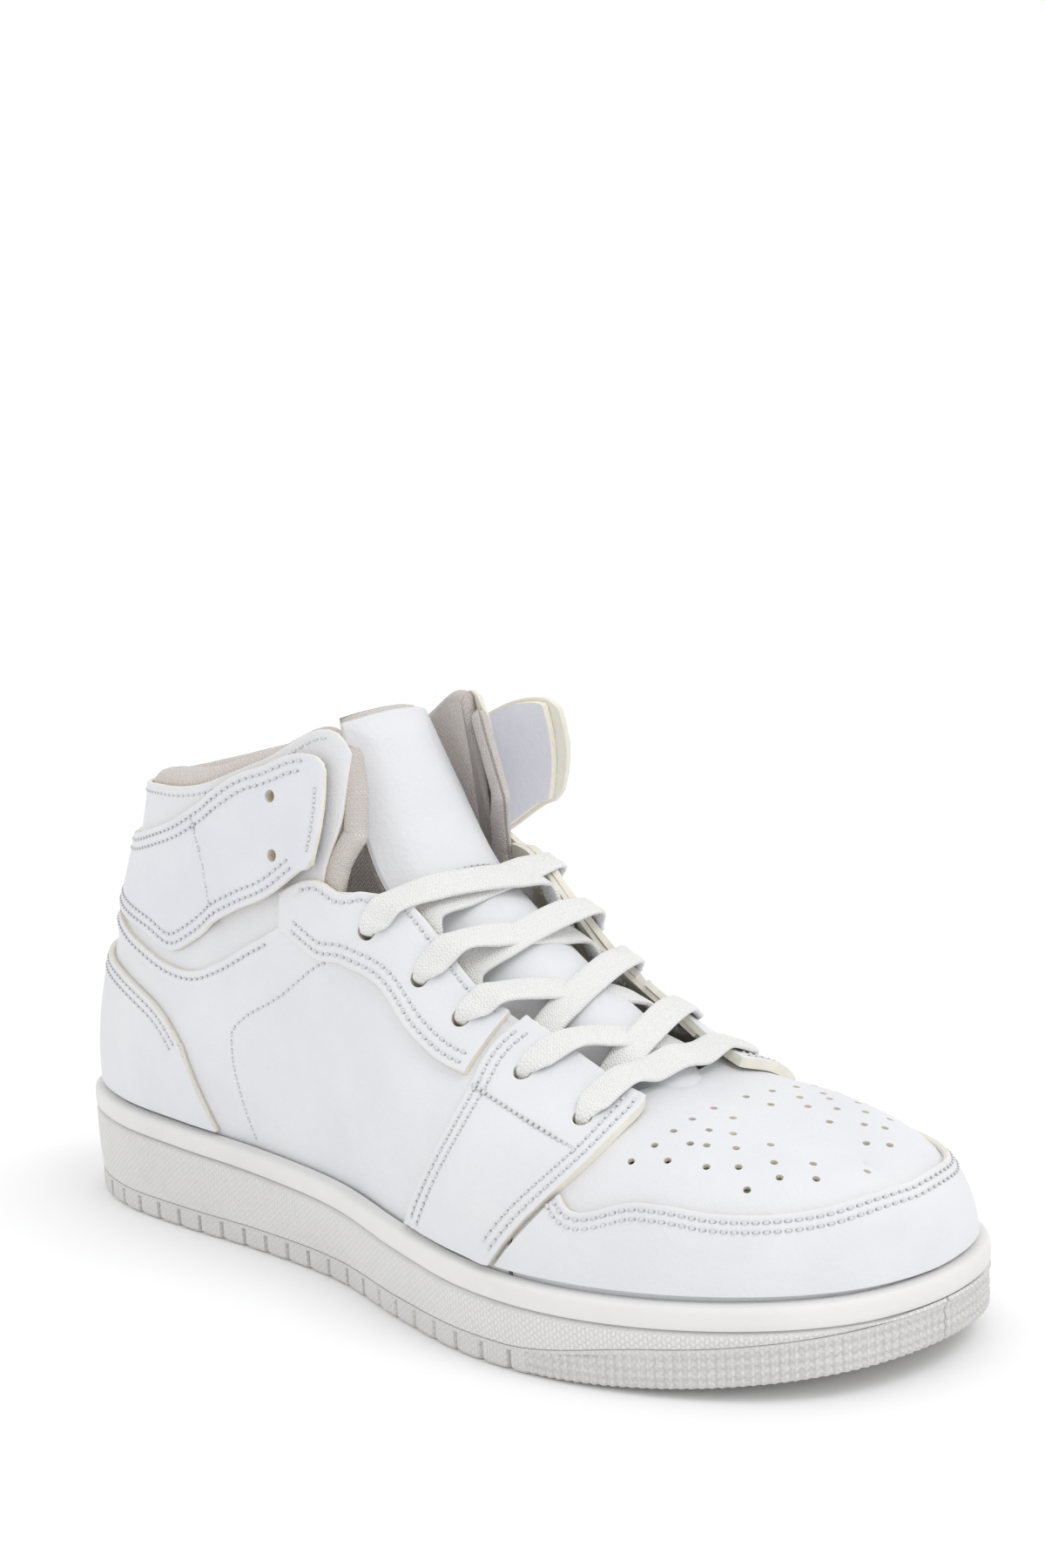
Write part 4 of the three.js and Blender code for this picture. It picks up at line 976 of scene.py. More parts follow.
above = lambda base, far: lambda y: base(y) + far
plate_top = above(ground_height, 4)
cup_floor = lambda y: plate_top(y) + GAP + 2.5
foam_top = lambda y: cup_floor(y) + GAP + mix(2, 17, (y / HALF + 1) / 2)
liner_low = lambda y: foam_top(y) + GAP + 1.5 + GAP


def cup():
    """The cup: wall rows between its lower edge and the groove, the groove, and a rounded rim band.
    The wall leans in and is hollowed by a sine of its height."""
    low, groove = above(tread_top, 0.1), above(rim_height, -RIM_BAND)
    between = lambda k: lambda y: mix(low(y) + 0.5, groove(y) - 0.9, k)
    hollow = lambda k: mix(0.35, 0, k) - 0.25 * np.sin(np.pi * k)
    inner = CUP_WALL - 0.75
    rings = [(inner, above(plate_top, GAP), 0), (inner, low, 0), (0.5, low, 1), (0.4, above(low, 0.15), 1)]
    rings += [(hollow(k), between(k), 1) for k in np.linspace(0, 1, 9)]
    band = (
        (0.3, -0.6), (1.2, -0.3), (2.1, -0.1), (1.9, 0.25), (0.3, 0.35), (0.02, 0.8), (-0.1, 2.2), (-0.1, 3.6),
        (0, 4.7), (0.2, 5.4), (0.65, 5.85), (1.3, 6.05), (2.4, 6.2), (3.5, 6.35), (CUP_WALL, 6.0),
    )  # fmt: skip
    rings += [(far, above(groove, up), 0) for far, up in band] + [(CUP_WALL, cup_floor, 0)]
    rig.replaces(ringed("sole_cup", 0.9, rings, sole_side), "midsole_cup")


BLOCK_GAP = 1.0
BLOCK_PITCH, SPIKE_PITCH = (PERIMETER / round(PERIMETER / k) for k in (9.6, 2.5))


def tread():
    """The outsole: its edge is cut into blocks by notches at even steps along the outline, with rounded
    corners, and towards the toe it turns into rows of small pyramids, each |x| + |y| of its cell."""
    half = BLOCK_PITCH / 2

    def pattern(number, run, y, z):
        toe = smoothstep(-y / HALF, 0.47, 0.485)
        x = np.abs((run / BLOCK_PITCH) % 1 - 0.5) * BLOCK_PITCH
        notch = smoothstep(x, half - BLOCK_GAP / 2 - 0.35, half - BLOCK_GAP / 2)
        corner = smoothstep(x, half - 2.2, half) * (1 - smoothstep(number, 2, 4)) * 0.8
        deep = np.where((number >= 1) & (number <= 16), 1.3, 0.0)
        across = np.abs((run / SPIKE_PITCH) % 1 - 0.5) * 2
        up = np.abs(((z - ground_height(y)) / 2.6) % 1 - 0.5) * 2
        spiked = np.where((number >= 1) & (number <= 17), 1, 0)
        spike = spiked * (0.85 - 0.85 * np.clip(1.6 - across - up, 0, 1))
        return (1 - toe) * (notch * deep + corner) + toe * spike

    at = lambda k: lambda y: ground_height(y) + k * (tread_top(y) - ground_height(y))
    sides = [(0.45, 0.14), *((0.25, k) for k in np.linspace(0.2, 0.8, 13))]
    sides += [(0.4, 0.84), (0.35, 0.88), (0.3, 0.93), (0.35, 0.985)]
    rings = [(far, at(k), 0) for far, k in ((3.4, 0), (1.6, 0.01), (0.8, 0.06))]
    rings += [(far, at(k), 1) for far, k in sides] + [(0.6, at(1), 0), (2.4, at(1), 0), (2.4, plate_top, 0)]
    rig.replaces(ringed("sole_tread", 0.33, rings, sole_tread, pattern), "outsole")
    lugs()


def lugs():
    """Herringbone ribs under the sole: bars along zigzag lines, z lowered where the wave of
    y plus a triangle wave of x is high. They stand on the outsole's flat underside."""
    margin, tooth, pitch = 6.5, 13, 6.2
    u, v = np.linspace(0.004, 0.996, 330)[:, None], np.linspace(0, 1, 120)[None]
    (left, out_left), (right, out_right) = (outline(k, u * np.ones_like(v)) for k in (-1.0, 1.0))
    flat = mix(left - out_left * margin, right - out_right * margin, v[..., None])
    x, y = flat[..., 0], flat[..., 1]
    wave = np.cos(2 * np.pi * (y + 3.2 * np.abs((x / tooth) % 1 - 0.5) * 2) / pitch)
    z = ground_height(y) + 0.35 - 0.33 * smoothstep(wave, -0.15, 0.35)
    low = np.concatenate([flat, z[..., None]], -1)
    high = np.concatenate([flat, (ground_height(y) + 0.6)[..., None]], -1)
    plain = {"grained": (np.zeros_like(x), np.zeros_like(x))}
    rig.slot(thick_sheet("tread_ribs", low, high, sole_tread, "shoe", flat, plain), "sole_rubber")


def sockliner():
    """The sockliner: a soft slab over the insole with a rounded, slightly raised rim."""
    edge = CUP_WALL + LEATHER + STIFFENER + LINING + 4 * GAP + SEAM
    section = ((0.6, 0), (0, 0.6), (0, 2.9), (0.5, 3.5), (1.6, LINER), (3, 3.4), (5, 3.3))
    rings = [(edge + far, above(liner_low, up), 0) for far, up in section]
    piece = ringed("soft_sockliner", 2.0, rings, knit_lining)
    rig.replaces(piece, "sockliner")
    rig.slot(piece, "knit_lining")
    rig.padded(piece, fill=0.9)


# ---------------------------------------------------------------- regions of the upper
LOW, OVERLAY_LOW = -0.03, 0.015
QUARTER_FRONT, COLLAR_FRONT = 0.33, 0.56
SEAM_SHARE = SEAM / (PERIMETER / 2)
EYELETS = ((0.307, 0.561), (0.365, 0.643), (0.429, 0.69), (0.466, 0.712), (0.512, 0.706))
STRAP_HOLES = ((0.62, 0.89), (0.614, 0.745))
throat_edge = spline(
    (0.28, 0.33, 0.361, 0.396, 0.445, 0.462, 0.486, 0.51, 0.534, 0.552),
    (0.745, 0.785, 0.8, 0.8, 0.805, 0.84, 0.86, 0.81, 0.735, 0.69),
)
quarter_seam = spline(
    (0.56, 0.619, 0.647, 0.69, 0.727, 0.756, 0.82, 0.886, 1),
    (0.55, 0.548, 0.525, 0.48, 0.452, 0.456, 0.5, 0.54, 0.55),
)
mud_top = spline(
    (0, 0.05, 0.09, 0.13, 0.17, 0.215, 0.24, 0.276, 0.3),
    (0.475, 0.4, 0.325, 0.285, 0.27, 0.28, 0.275, 0.215, 0.28),
)
mud_end = spline((0, 0.09, 0.186, 0.282), (0.346, 0.327, 0.309, 0.295))
SADDLE_KNOTS = (0, 0.2, 0.4, 0.62, 0.8, 1)
saddle_rear = spline(
    SADDLE_KNOTS,
    ((0.454, 0), (0.42, 0.17), (0.402, 0.33), (0.396, 0.51), (0.398, 0.66), (0.39, 0.82)),
)
saddle_front = spline(
    SADDLE_KNOTS,
    ((0.348, 0), (0.322, 0.13), (0.297, 0.28), (0.281, 0.454), (0.277, 0.64), (0.283, 0.745)),
)
STAY_KNOTS = (0, 0.15, 0.32, 0.5, 0.68, 0.84, 1)
stay_low = spline(
    STAY_KNOTS,
    ((0.406, 0.548), (0.431, 0.54), (0.46, 0.56), (0.494, 0.612), (0.53, 0.57), (0.57, 0.51), (0.612, 0.57)),
)
stay_high = spline(
    STAY_KNOTS,
    ((0.402, 0.8), (0.43, 0.8), (0.459, 0.835), (0.49, 0.86), (0.52, 0.78), (0.548, 0.7), (0.612, 0.655)),
)
HEEL_KNOTS = (0, 0.33, 0.62, 0.85, 1)
heel_low = spline(HEEL_KNOTS, (1, 0.9, 0.82, 0.75, 0.711))
heel_high = spline(HEEL_KNOTS, ((1, 0.44), (0.9, 0.435), (0.82, 0.398), (0.768, 0.33), (0.743, 0.25)))
STRAP_END = 0.434
strap_low = spline(
    (0, 0.11, 0.2, 0.248, 0.278, 0.31, 0.352, 0.391, 0.419, 0.43, STRAP_END),
    (0.60, 0.59, 0.56, 0.53, 0.568, 0.616, 0.647, 0.661, 0.69, 0.705, 0.725),
)
strap_high = spline(
    (0, 0.125, 0.235, 0.292, 0.341, 0.385, 0.416, 0.428, STRAP_END),
    (0.83, 0.835, 0.9, 0.955, 0.985, 0.968, 0.945, 0.935, 0.92),
)
collar_front = lambda t: mix(COLLAR_FRONT + 0.008, 0.553, smoothstep(t, 0.68, 0.87))
strap_lift = lambda s: 1.2 * smoothstep(0.69 - s, 0, 0.12)
quarter_lift = lambda s, t: (
    1.4 * smoothstep(t - quarter_seam(s), -0.05, -0.004) * smoothstep(s, 0.572, 0.6)
)


def halves(w):
    """A share from 0 to 1 as a side and a distance from the middle, 1 at both ends."""
    w = 2 * w - 1
    return np.where(w < 0, -1.0, 1.0), np.abs(w)


def vamp_place(u, v):
    side, w = halves(v)
    t = mix(LOW, 1, 1 - w)
    return side, u * mix(QUARTER_FRONT - SEAM_SHARE, THROAT_END - 0.006, smoothstep(t, 0.66, 0.8)), t


def mud_place(u, v):
    side, a = halves(u)
    t = mix(OVERLAY_LOW, mud_top(a * 0.295), v)
    return side, a * (mud_end(t) - SEAM_SHARE), t


def quarter_place(side):
    def place(u, v):
        s = mix(QUARTER_FRONT + SEAM_SHARE, 1 - SEAM_SHARE / 2, u)
        top = mix(throat_edge(s), quarter_seam(s) + 0.026, smoothstep(s, 0.551, 0.562))
        return side, s, mix(LOW, top, v)

    return place


def saddle_place(side):
    def place(u, v):
        a, b = saddle_front(v), saddle_rear(v)
        t = mix(a[..., 1], b[..., 1], u) + 0.02 * np.sin(np.pi * u) * v
        return side, mix(a[..., 0], b[..., 0], u), np.maximum(t, OVERLAY_LOW)

    return place


def stay_place(side):
    def place(u, v):
        a, b = stay_low(u), stay_high(u)
        return side, mix(a[..., 0], b[..., 0], v), mix(a[..., 1], b[..., 1], v)

    return place


def heel_place(u, v):
    side, a = halves(u)
    top = heel_high(a)
    return side, mix(heel_low(a), top[..., 0], v), mix(OVERLAY_LOW, top[..., 1], v)


def collar_place(side):
    def place(u, v):
        s = mix(collar_front(mix(0.56, 1, v)), 1 - SEAM_SHARE / 2, u)
        return side, s, mix(quarter_seam(s) + 0.008, 1, v)

    return place


def strap_place(side, start=0.0, rim=0.0):
    """The strap's half from the share start of the way, drawn in by rim times a stitch margin."""
    def place(u, v):
        run = mix(start, STRAP_END - 0.006 * rim, u)
        low, high = strap_low(run) + 0.008 * rim, strap_high(run) - 0.008 * rim
        bow = 0.004 * (2 * v - 1) ** 2 * smoothstep(run, 0.38, STRAP_END)
        return side, 1 - run + bow, mix(low, high, v)

    return place


def border(place, which, count=90):
    """One border of a region as a line: its start, end, low or high side."""
    k = np.linspace(0, 1, count)
    flat = {"start": (0 * k, k), "end": (0 * k + 1, k), "low": (k, 0 * k), "high": (k, 0 * k + 1)}[which]
    return tuple(v * np.ones(count) for v in place(*flat))


def line(side, *points):
    """A smooth line through (s, t) points on one side."""
    p = np.array(points)
    run = lengths(p)
    at = spline(run, p)(np.linspace(0, run[-1], 120))
    return np.full(120, float(side)), at[:, 0], at[:, 1]


def cut(path, first, last):
    """A line or border without its first and last points."""
    return tuple(k[first : len(k) - last] for k in path)


def holes(piece, side, spots, radius=2.5):
    s, t = np.array(spots).T
    punch(piece, skin(side, s, t), skin_normal(side, s, t), radius)


# ---------------------------------------------------------------- the leather upper
OVERLAID = (SNUG, OVERLAY_TOP, leather_white, "shoe")
# Distance from the middle, and place along the shoe.
VENTS = (
    (36, -90), (30, -92), (23, -92), (15, -91), (6, -90), (32, -98), (25, -99), (17, -98), (7, -97),
    (23, -102.5), (14, -103), (28.5, -107), (19, -108), (24, -113), (11, -112), (27, -118), (17, -118),
    (20, -122), (10, -124), (14, -128), (0, -132),
)  # fmt: skip


def vent_spots():
    """The vents' places on the skin, found from their places seen from above, on both sides."""
    s, t = (k.ravel() for k in np.meshgrid(np.linspace(0, 0.32, 420), np.linspace(0.3, 1, 300), indexing="ij"))
    found = []
    for side in (-1.0, 1.0):
        grid = skin(side, s, t)[:, :2]
        for x, y in VENTS:
            far = np.hypot(grid[:, 0] - (FOOT_AXIS + side * x), grid[:, 1] - y)
            k = far.argmin()
            if far[k] < 1:
                found.append((side, s[k], t[k]))
    return np.array(found)


def inward(edge, distance, towards):
    """A border moved by a distance towards a (s, t) point of the region."""
    moved, other = inset(edge, distance), inset(edge, -distance)
    k = len(edge[1]) // 2
    goal = skin(edge[0][k], *towards)
    far = lambda path: np.linalg.norm(skin(*(v[k] for v in path)) - goal)
    return moved if far(moved) < far(other) else other


def on_overlay(rows):
    """Rows of stitches on an overlay's top."""
    return [seam_path(r, OVERLAY_TOP - 0.12) for r in rows]


def toe():
    piece = leather("vamp_leather", vamp_place, -LEATHER, 0, leather_smooth, "shoe", 2.4, folded=True)
    spots = vent_spots()
    punch(piece, skin(*spots.T), skin_normal(*spots.T), 0.95)
    for side, name in SIDES:
        holes(piece, side, EYELETS[:1])
    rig.replaces(piece, "vamp")
    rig.slot(piece, "white_leather")
    edge = border(mud_place, "high", 260)
    rows = [inward(edge, d, (0, 0.2)) for d in (1.7, 3.7)]
    guard = leather("mudguard_leather", mud_place, *OVERLAID, 2.4, [edge], rows)
    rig.replaces(guard, "mudguard")
    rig.slot(guard, "white_leather")
    sew("mudguard_stitches", on_overlay(rows), "shoe")


def upper(side, name):
    """One side's quarter, saddle, eyestay and collar panel with their stitches."""
    edge = border(quarter_place(side), "high", 260)
    row = cut(inward(edge, 2.2, (0.75, 0.2)), 0, 2)
    under = lambda s, t: quarter_lift(s, t) - LEATHER
    quarter = leather(
        f"{name}_quarter_leather", quarter_place(side), under, quarter_lift, leather_smooth, "shoe", 2.6,
        [edge], [row],
    )  # fmt: skip
    row = tuple(k[row[1] > 0.625] for k in row)
    holes(quarter, side, EYELETS[1:])
    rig.replaces(quarter, f"{name}_quarter")
    seam = line(
        side, (0.556, 0.517), (0.607, 0.424), (0.658, 0.364), (0.676, 0.326), (0.68, 0.269),
        (0.676, 0.148), (0.667, 0.02),
    )  # fmt: skip
    paths = [seam_path(seam, -0.05), seam_path(row, quarter_lift(row[1], row[2]) - 0.1)]
    sew(f"{name}_quarter_stitches", paths, "shoe")

    place = saddle_place(side)
    front, rear, top = (border(place, k) for k in ("start", "end", "high"))
    rows = [inward(edge, d, (0.34, 0.4)) for edge in (front, rear) for d in ROWS]
    rope = line(side, (0.394, 0.528), (0.347, 0.492), (0.293, 0.421))
    thicker = lambda s, t: 1.0 * (1 - smoothstep(s - np.interp(t, front[2], front[1]), 0.003, 0.03))
    rims, seams = [front, rear, top], [*rows, rope]
    saddle = leather(f"{name}_saddle_leather", place, *OVERLAID, 2.2, rims, seams, swell=thicker)
    holes(saddle, side, EYELETS[:2])
    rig.replaces(saddle, f"{name}_saddle")
    rows = [cut(r, 6, 4) for r in rows]
    paths = [seam_path(r, OVERLAY_TOP - 0.12 + thicker(r[1], r[2])) for r in rows]
    sew(f"{name}_saddle_stitches", paths, "shoe")
    sew(f"{name}_saddle_rope", [seam_path(rope, OVERLAY_TOP - 0.05)], "shoe", 1.9, 1.9, 0.6, 0.45)

    place = stay_place(side)
    rims = [border(place, k) for k in ("low", "high", "end", "start")]
    rows = [inward(rims[k], d, (0.49, 0.72)) for k, d in ((0, ROWS[0]), (0, ROWS[1]), (1, 2.2))]
    rows = [cut(r, 3, 3) for r in rows]
    stay = leather(f"{name}_eyestay_leather", place, *OVERLAID, 2.0, rims, rows)
    holes(stay, side, EYELETS[2:])
    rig.replaces(stay, f"{name}_eyestay")
    sew(f"{name}_eyestay_stitches", on_overlay(rows), "shoe")

    place = collar_place(side)
    rims = [border(place, k) for k in ("start", "high", "low")]
    panel = leather(f"{name}_collar_leather", place, -LEATHER, 0, leather_smooth, "shoe", 2.4, rims)
    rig.replaces(panel, f"{name}_collar_panel")
    row = cut(inward(rims[1], 2.4, (0.8, 0.8)), 5, 1)
    sew(f"{name}_collar_stitches", [seam_path(row, -0.1)], "shoe")
    for piece in (quarter, saddle, stay, panel):
        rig.slot(piece, "white_leather")


def heel():
    edge = border(heel_place, "high", 300)
    rims = [edge, *(border(heel_place, k) for k in ("start", "end"))]
    rows = [inward(edge, d, (1, 0.2)) for d in ROWS]
    piece = leather("heel_overlay_leather", heel_place, *OVERLAID, 2.4, rims, rows)
    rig.replaces(piece, "heel_overlay")
    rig.slot(piece, "white_leather")
    sew("heel_stitches", on_overlay([cut(r, 3, 3) for r in rows]), "shoe")


# ---------------------------------------------------------------- ankle straps
def strap(side, name):
    """One half of the ankle strap, from the back seam to its free end. It climbs smoothly on to its
    backing in front of the cross seam and curls out a little; the medial end also flares by a power of
    the distance past the seam."""
    body, place = f"{name}_strap_tab", strap_place(side)
    flare = 20 * (side > 0)

    def rise(s):
        climb = mix(OVERLAY_TOP, 3.7, smoothstep(0.71 - s, 0, 0.025))
        return climb + strap_lift(s) + flare * (np.clip(0.685 - s, 0, 1) / 0.12) ** 1.6

    above_skin = lambda drop: lambda s, t: rise(s) - drop
    edges = [border(place, k, 160) for k in ("low", "high", "end")]
    cuts = [cut(inward(e, d, (0.7, 0.8)), 2, 6) for e in edges[:2] for d in ROWS]
    cuts.append(cut(inward(edges[2], 2.2, (0.6, 0.82)), 12, 12))
    cuts.append(line(side, (0.723, 0.915), (0.712, 0.822), (0.692, 0.66)))
    piece = leather(
        f"{name}_strap_leather", place, above_skin(OVERLAY), above_skin(0), strap_leather, None, 2.2, edges,
        cuts,
    )  # fmt: skip
    holes(piece, side, STRAP_HOLES, 1.7)
    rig.replaces(piece, f"{name}_strap", *(["ankle_wrap"] if side == LATERAL else []))
    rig.slot(piece, "white_leather")
    place = strap_place(side, 0.31, 1.0)
    rims = [border(place, k, 120) for k in ("low", "high", "end")]
    backing = leather(
        f"{name}_strap_padding", place, above_skin(OVERLAY + 1.95), above_skin(OVERLAY + 0.05), strap_lining,
        None, 2.0, rims, roll=0.6, lined=True,
    )  # fmt: skip
    holes(backing, side, STRAP_HOLES, 1.7)
    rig.replaces(backing, f"{name}_strap_backing")
    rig.slot(backing, "felt_padding")
    stitches = sew(f"{name}_strap_stitches", [seam_path(row, rise(row[1]) - 0.12) for row in cuts], None)
    ends = [tuple(float(k) / 1000 for k in skin(side, s, 0.79)) for s in (0.712, 0.682)]
    for part in (piece, backing, stitches):
        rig.blend(part, "shoe", body, *ends)


# ---------------------------------------------------------------- collar padding and tongue
padding = spline((0.56, 0.6, 0.68, 1), (1.4, 3, COLLAR_PAD, COLLAR_PAD))


def collar():
    """The collar's padding in its knit cover: a band whose section runs up behind the leather, over in
    a half circle and down inside, all round from one front edge to the other. Inside it bulges by a
    squared sine of its height."""
    side, a = halves(np.linspace(0, 1, 261)[:, None])
    s = mix(1, COLLAR_FRONT + 0.006, a)
    thick = padding(s) + 2.0
    k = np.linspace(0, 1, 46)[None]
    turn = np.pi * np.clip((k - 0.4) / 0.2, 0, 1)
    up = np.where(k < 0.4, k / 0.4, np.where(k > 0.6, (1 - k) / 0.4, 1))
    foot, top = np.maximum(quarter_seam(s), 0.5) + 0.03, 0.984
    t = mix(foot, top, up)
    bulge = -0.9 * np.sin(np.pi * up) ** 2 * (k > 0.5) * smoothstep(s, 0.57, 0.66)
    off = -1.65 - thick / 2 * (1 - np.cos(turn)) + bulge
    side, s, t, off = np.broadcast_arrays(side, s, t, off)
    normal = skin_normal(side, s, np.minimum(t, 0.985))
    rise = unit(skin(side, s, np.full_like(t, 1)) - skin(side, s, np.full_like(t, 0.96)))
    points = skin(side, s, t) + normal * off[..., None] + rise * (np.sin(turn) * thick * 0.62)[..., None]
    rows, cols = points.shape[:2]
    shrink = np.clip(np.minimum(np.arange(rows), rows - 1 - np.arange(rows)) / 3, 0.02, 1) ** 0.5
    spine = points[:, :1] * 0.5 + points[:, -1:] * 0.5
    shrink = shrink[:, None, None]
    points = np.where(shrink < 1, mix(spine, points, shrink), points)
    run = lengths(points[:, cols // 2])[:, None]
    piece = closed_tube("collar_padding", points, knit_lining, "shoe", run, lengths(points[rows // 2])[None])
    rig.replaces(piece, "collar_foam", "collar_lining")
    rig.slot(piece, "knit_lining")
    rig.padded(piece, fill=0.8)


def piping(side, name):
    """The knit edge that wraps round the collar's front, from the throat to the top line: a closed
    tube along it with an oval section, drawn in to a round end at both ends."""
    count, wide_half, tall_half = 70, 3.4, 2.3
    t = np.linspace(0.575, 1.0, count)
    s = np.interp(t, (0.55, 0.65, 0.745, 0.857, 0.941, 1.01), (0.556, 0.562, 0.555, 0.54, 0.546, 0.562))
    centre = on_skin(side, s, t, np.full(count, -2.6))
    along = unit(np.gradient(centre, axis=0))
    wide = unit(np.cross(skin_normal(side, s, t), along))
    tall = np.cross(along, wide)
    turn = np.arange(20) * np.pi / 10
    run = lengths(centre)
    end = np.clip(np.minimum(run, run[-1] - run) / wide_half, 0, 1)
    end = np.maximum(np.sqrt(1 - (1 - end) ** 2), 0.03)[:, None, None]
    x, z = (k[None, :, None] for k in (np.cos(turn) * wide_half, np.sin(turn) * tall_half))
    points = centre[:, None] + end * (x * wide[:, None] + z * tall[:, None])
    around = turn[None] * (wide_half + tall_half) / 2
    piece = closed_tube(f"{name}_collar_piping", points, knit_binding, "shoe", run[:, None], around)
    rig.slot(piece, "knit_lining")
    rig.padded(piece, fill=0.8)


TONGUE_KNOTS = (0, 0.1, 0.25, 0.4, 0.55, 0.68, 0.84, 1)
tongue_line = spline(
    TONGUE_KNOTS,
    (
        (-0.575, 0.213), (-0.5, 0.287), (-0.36, 0.38), (-0.215, 0.475), (-0.075, 0.59), (0.02, 0.69),
        (0.093, 0.848), (0.16, 1.027),
    ),
)  # fmt: skip
tongue_half = spline(TONGUE_KNOTS, (13, 14.5, 17.5, 20, 21.5, 22, 20, 16))
tongue_drop = spline((0, 0.25, 0.68, 1), (4.5, 7, 8, 5.5))


def tongue_centre(v):
    """The tongue's middle line at the share v of its length."""
    y, z = np.moveaxis(tongue_line(v), -1, 0)
    return np.stack([np.full(y.shape, FOOT_AXIS), y * HALF, WAIST_HEIGHT + z * ANKLE_HEIGHT], -1)


def tongue_normal(v):
    v = np.asarray(v, float)
    along = unit(tongue_centre(np.minimum(v + 0.01, 1)) - tongue_centre(np.maximum(v - 0.01, 0)))
    return np.stack([np.zeros(v.shape), -along[..., 2], along[..., 1]], -1)


def tongue_point(u, v, depth):
    """A point across (u from -1 to 1) and along (v) the tongue, at a depth under its arched face: the
    arch falls with the square of u."""
    u, v, depth = np.broadcast_arrays(*(np.asarray(k, float) for k in (u, v, depth)))
    out, half, drop = tongue_normal(v), tongue_half(v) * WIDTH / DRAWN_WIDTH, tongue_drop(v)
    p = tongue_centre(v) - out * (drop * u * u)[..., None]
    p[..., 0] += u * half
    lean = out.copy()
    lean[..., 0] = 2 * u * drop / half
    return p - unit(lean) * depth[..., None]


def oval(w, power):
    """A sine or cosine raised to a power, with its sign kept: below 1 it squares up a round section."""
    return np.sign(w) * np.abs(w) ** power


def tongue():
    """The padded tongue: a leather face that swells between its edges, over a knit body whose section
    is a flat oval. Both bend at the fold."""
    v = np.linspace(0, 1, 170)[:, None]
    turn = np.linspace(0, 2 * np.pi, 64, endpoint=False)[None]
    end = np.sqrt(1 - (1 - np.clip((1 - v) * 42, 0, 1)) ** 2)
    half_thick = 3.2 * np.maximum(end, 0.04)
    across = 0.985 * oval(np.cos(turn), 0.35) * np.where(v > 0.9, 1 - 0.06 * smoothstep(v, 0.9, 1), 1)
    points = tongue_point(across, v, 4.15 - half_thick * oval(np.sin(turn), 0.8))
    run = lengths(tongue_centre(v[:, 0]))
    cover = closed_tube("tongue_padding", points, knit_binding, None, run[:, None], turn * 9)
    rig.replaces(cover, "tongue_foam", "tongue_lining", "tongue_top_foam", "tongue_top_lining")
    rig.slot(cover, "knit_lining")
    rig.padded(cover, fill=0.75)

    edge_u, edge_v, seam_v = 0.95, 0.988, 0.645
    v, u = np.linspace(0.0, edge_v, 240)[:, None], np.linspace(-edge_u, edge_u, 90)[None]
    near = np.minimum((edge_u - np.abs(u)) * tongue_half(v), (edge_v - v) * run[-1])
    stitched = 0.5 * np.exp(-(((v - seam_v) * run[-1] / 1.6) ** 2))
    laced = smoothstep(v, 0.12, 0.25) * (1 - smoothstep(v, 0.56, 0.64)) * (1 - u * u)
    rise = 0.9 * smoothstep(near, 0.2, 9) + 2 * laced - stitched
    rolled = 0.9 * np.sqrt(np.clip(near / 0.5, 0, 1))
    face = tongue_point(u, v, 0.3 - rise - rolled + 0.9)
    under = tongue_point(u, v, 1.15 + 0 * near)
    edge = np.maximum(near, 0.5 * (v < 0.02))
    cloth = np.stack(np.broadcast_arrays(u * 20, run[-1] * v), -1)
    marks = {"edge": (edge, np.zeros_like(edge))}
    piece = thick_sheet("tongue_leather", face, under, leather_white, None, cloth, marks)
    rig.replaces(piece, "tongue_face", "tongue_top_face")
    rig.slot(piece, "white_leather")

    x, paths = mix(-0.86, 0.86, np.linspace(0, 1, 140)), []
    for v in (seam_v + 0.008, seam_v - 0.008):
        path = tongue_point(x, v, -0.42)
        paths.append((path, unit(path - tongue_point(x, v, 1.0))))
    stitches = sew("tongue_stitches", paths, None)
    fold = [tuple(float(c) / 1000 for c in tongue_centre(np.array(w))) for w in (0.665, 0.735)]
    for part in (cover, piece, stitches):
        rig.blend(part, "shoe", "tongue_top", *fold)


# ---------------------------------------------------------------- the lace
LACE_WIDE, LACE_THICK = 8.4, 1.8
CROSS_HIGH, CROSS_LOW = 4.6, 2.4


def lace_hole(side, row):
    """A lace hole: its middle, its distance to the throat's edge, the direction across the lace in it,
    and a function from a distance towards that edge and a height to a point."""
    s, t = EYELETS[row]
    centre, out = skin(side, s, t), skin_normal(side, s, t)
    over = skin(side, s, t + 0.03) - centre
    over = unit(over - out * (over * out).sum())
    edge = np.linalg.norm(skin(side, s, throat_edge(s)) - centre)
    across = unit(np.cross(out, over))
    across = across * np.sign(across[1])

    def at(along, up, lean=0):
        share = along / edge
        return on_skin(side, s + lean * share * 0.011, t + share * (throat_edge(s) - t), up)

    return centre, edge, across, at


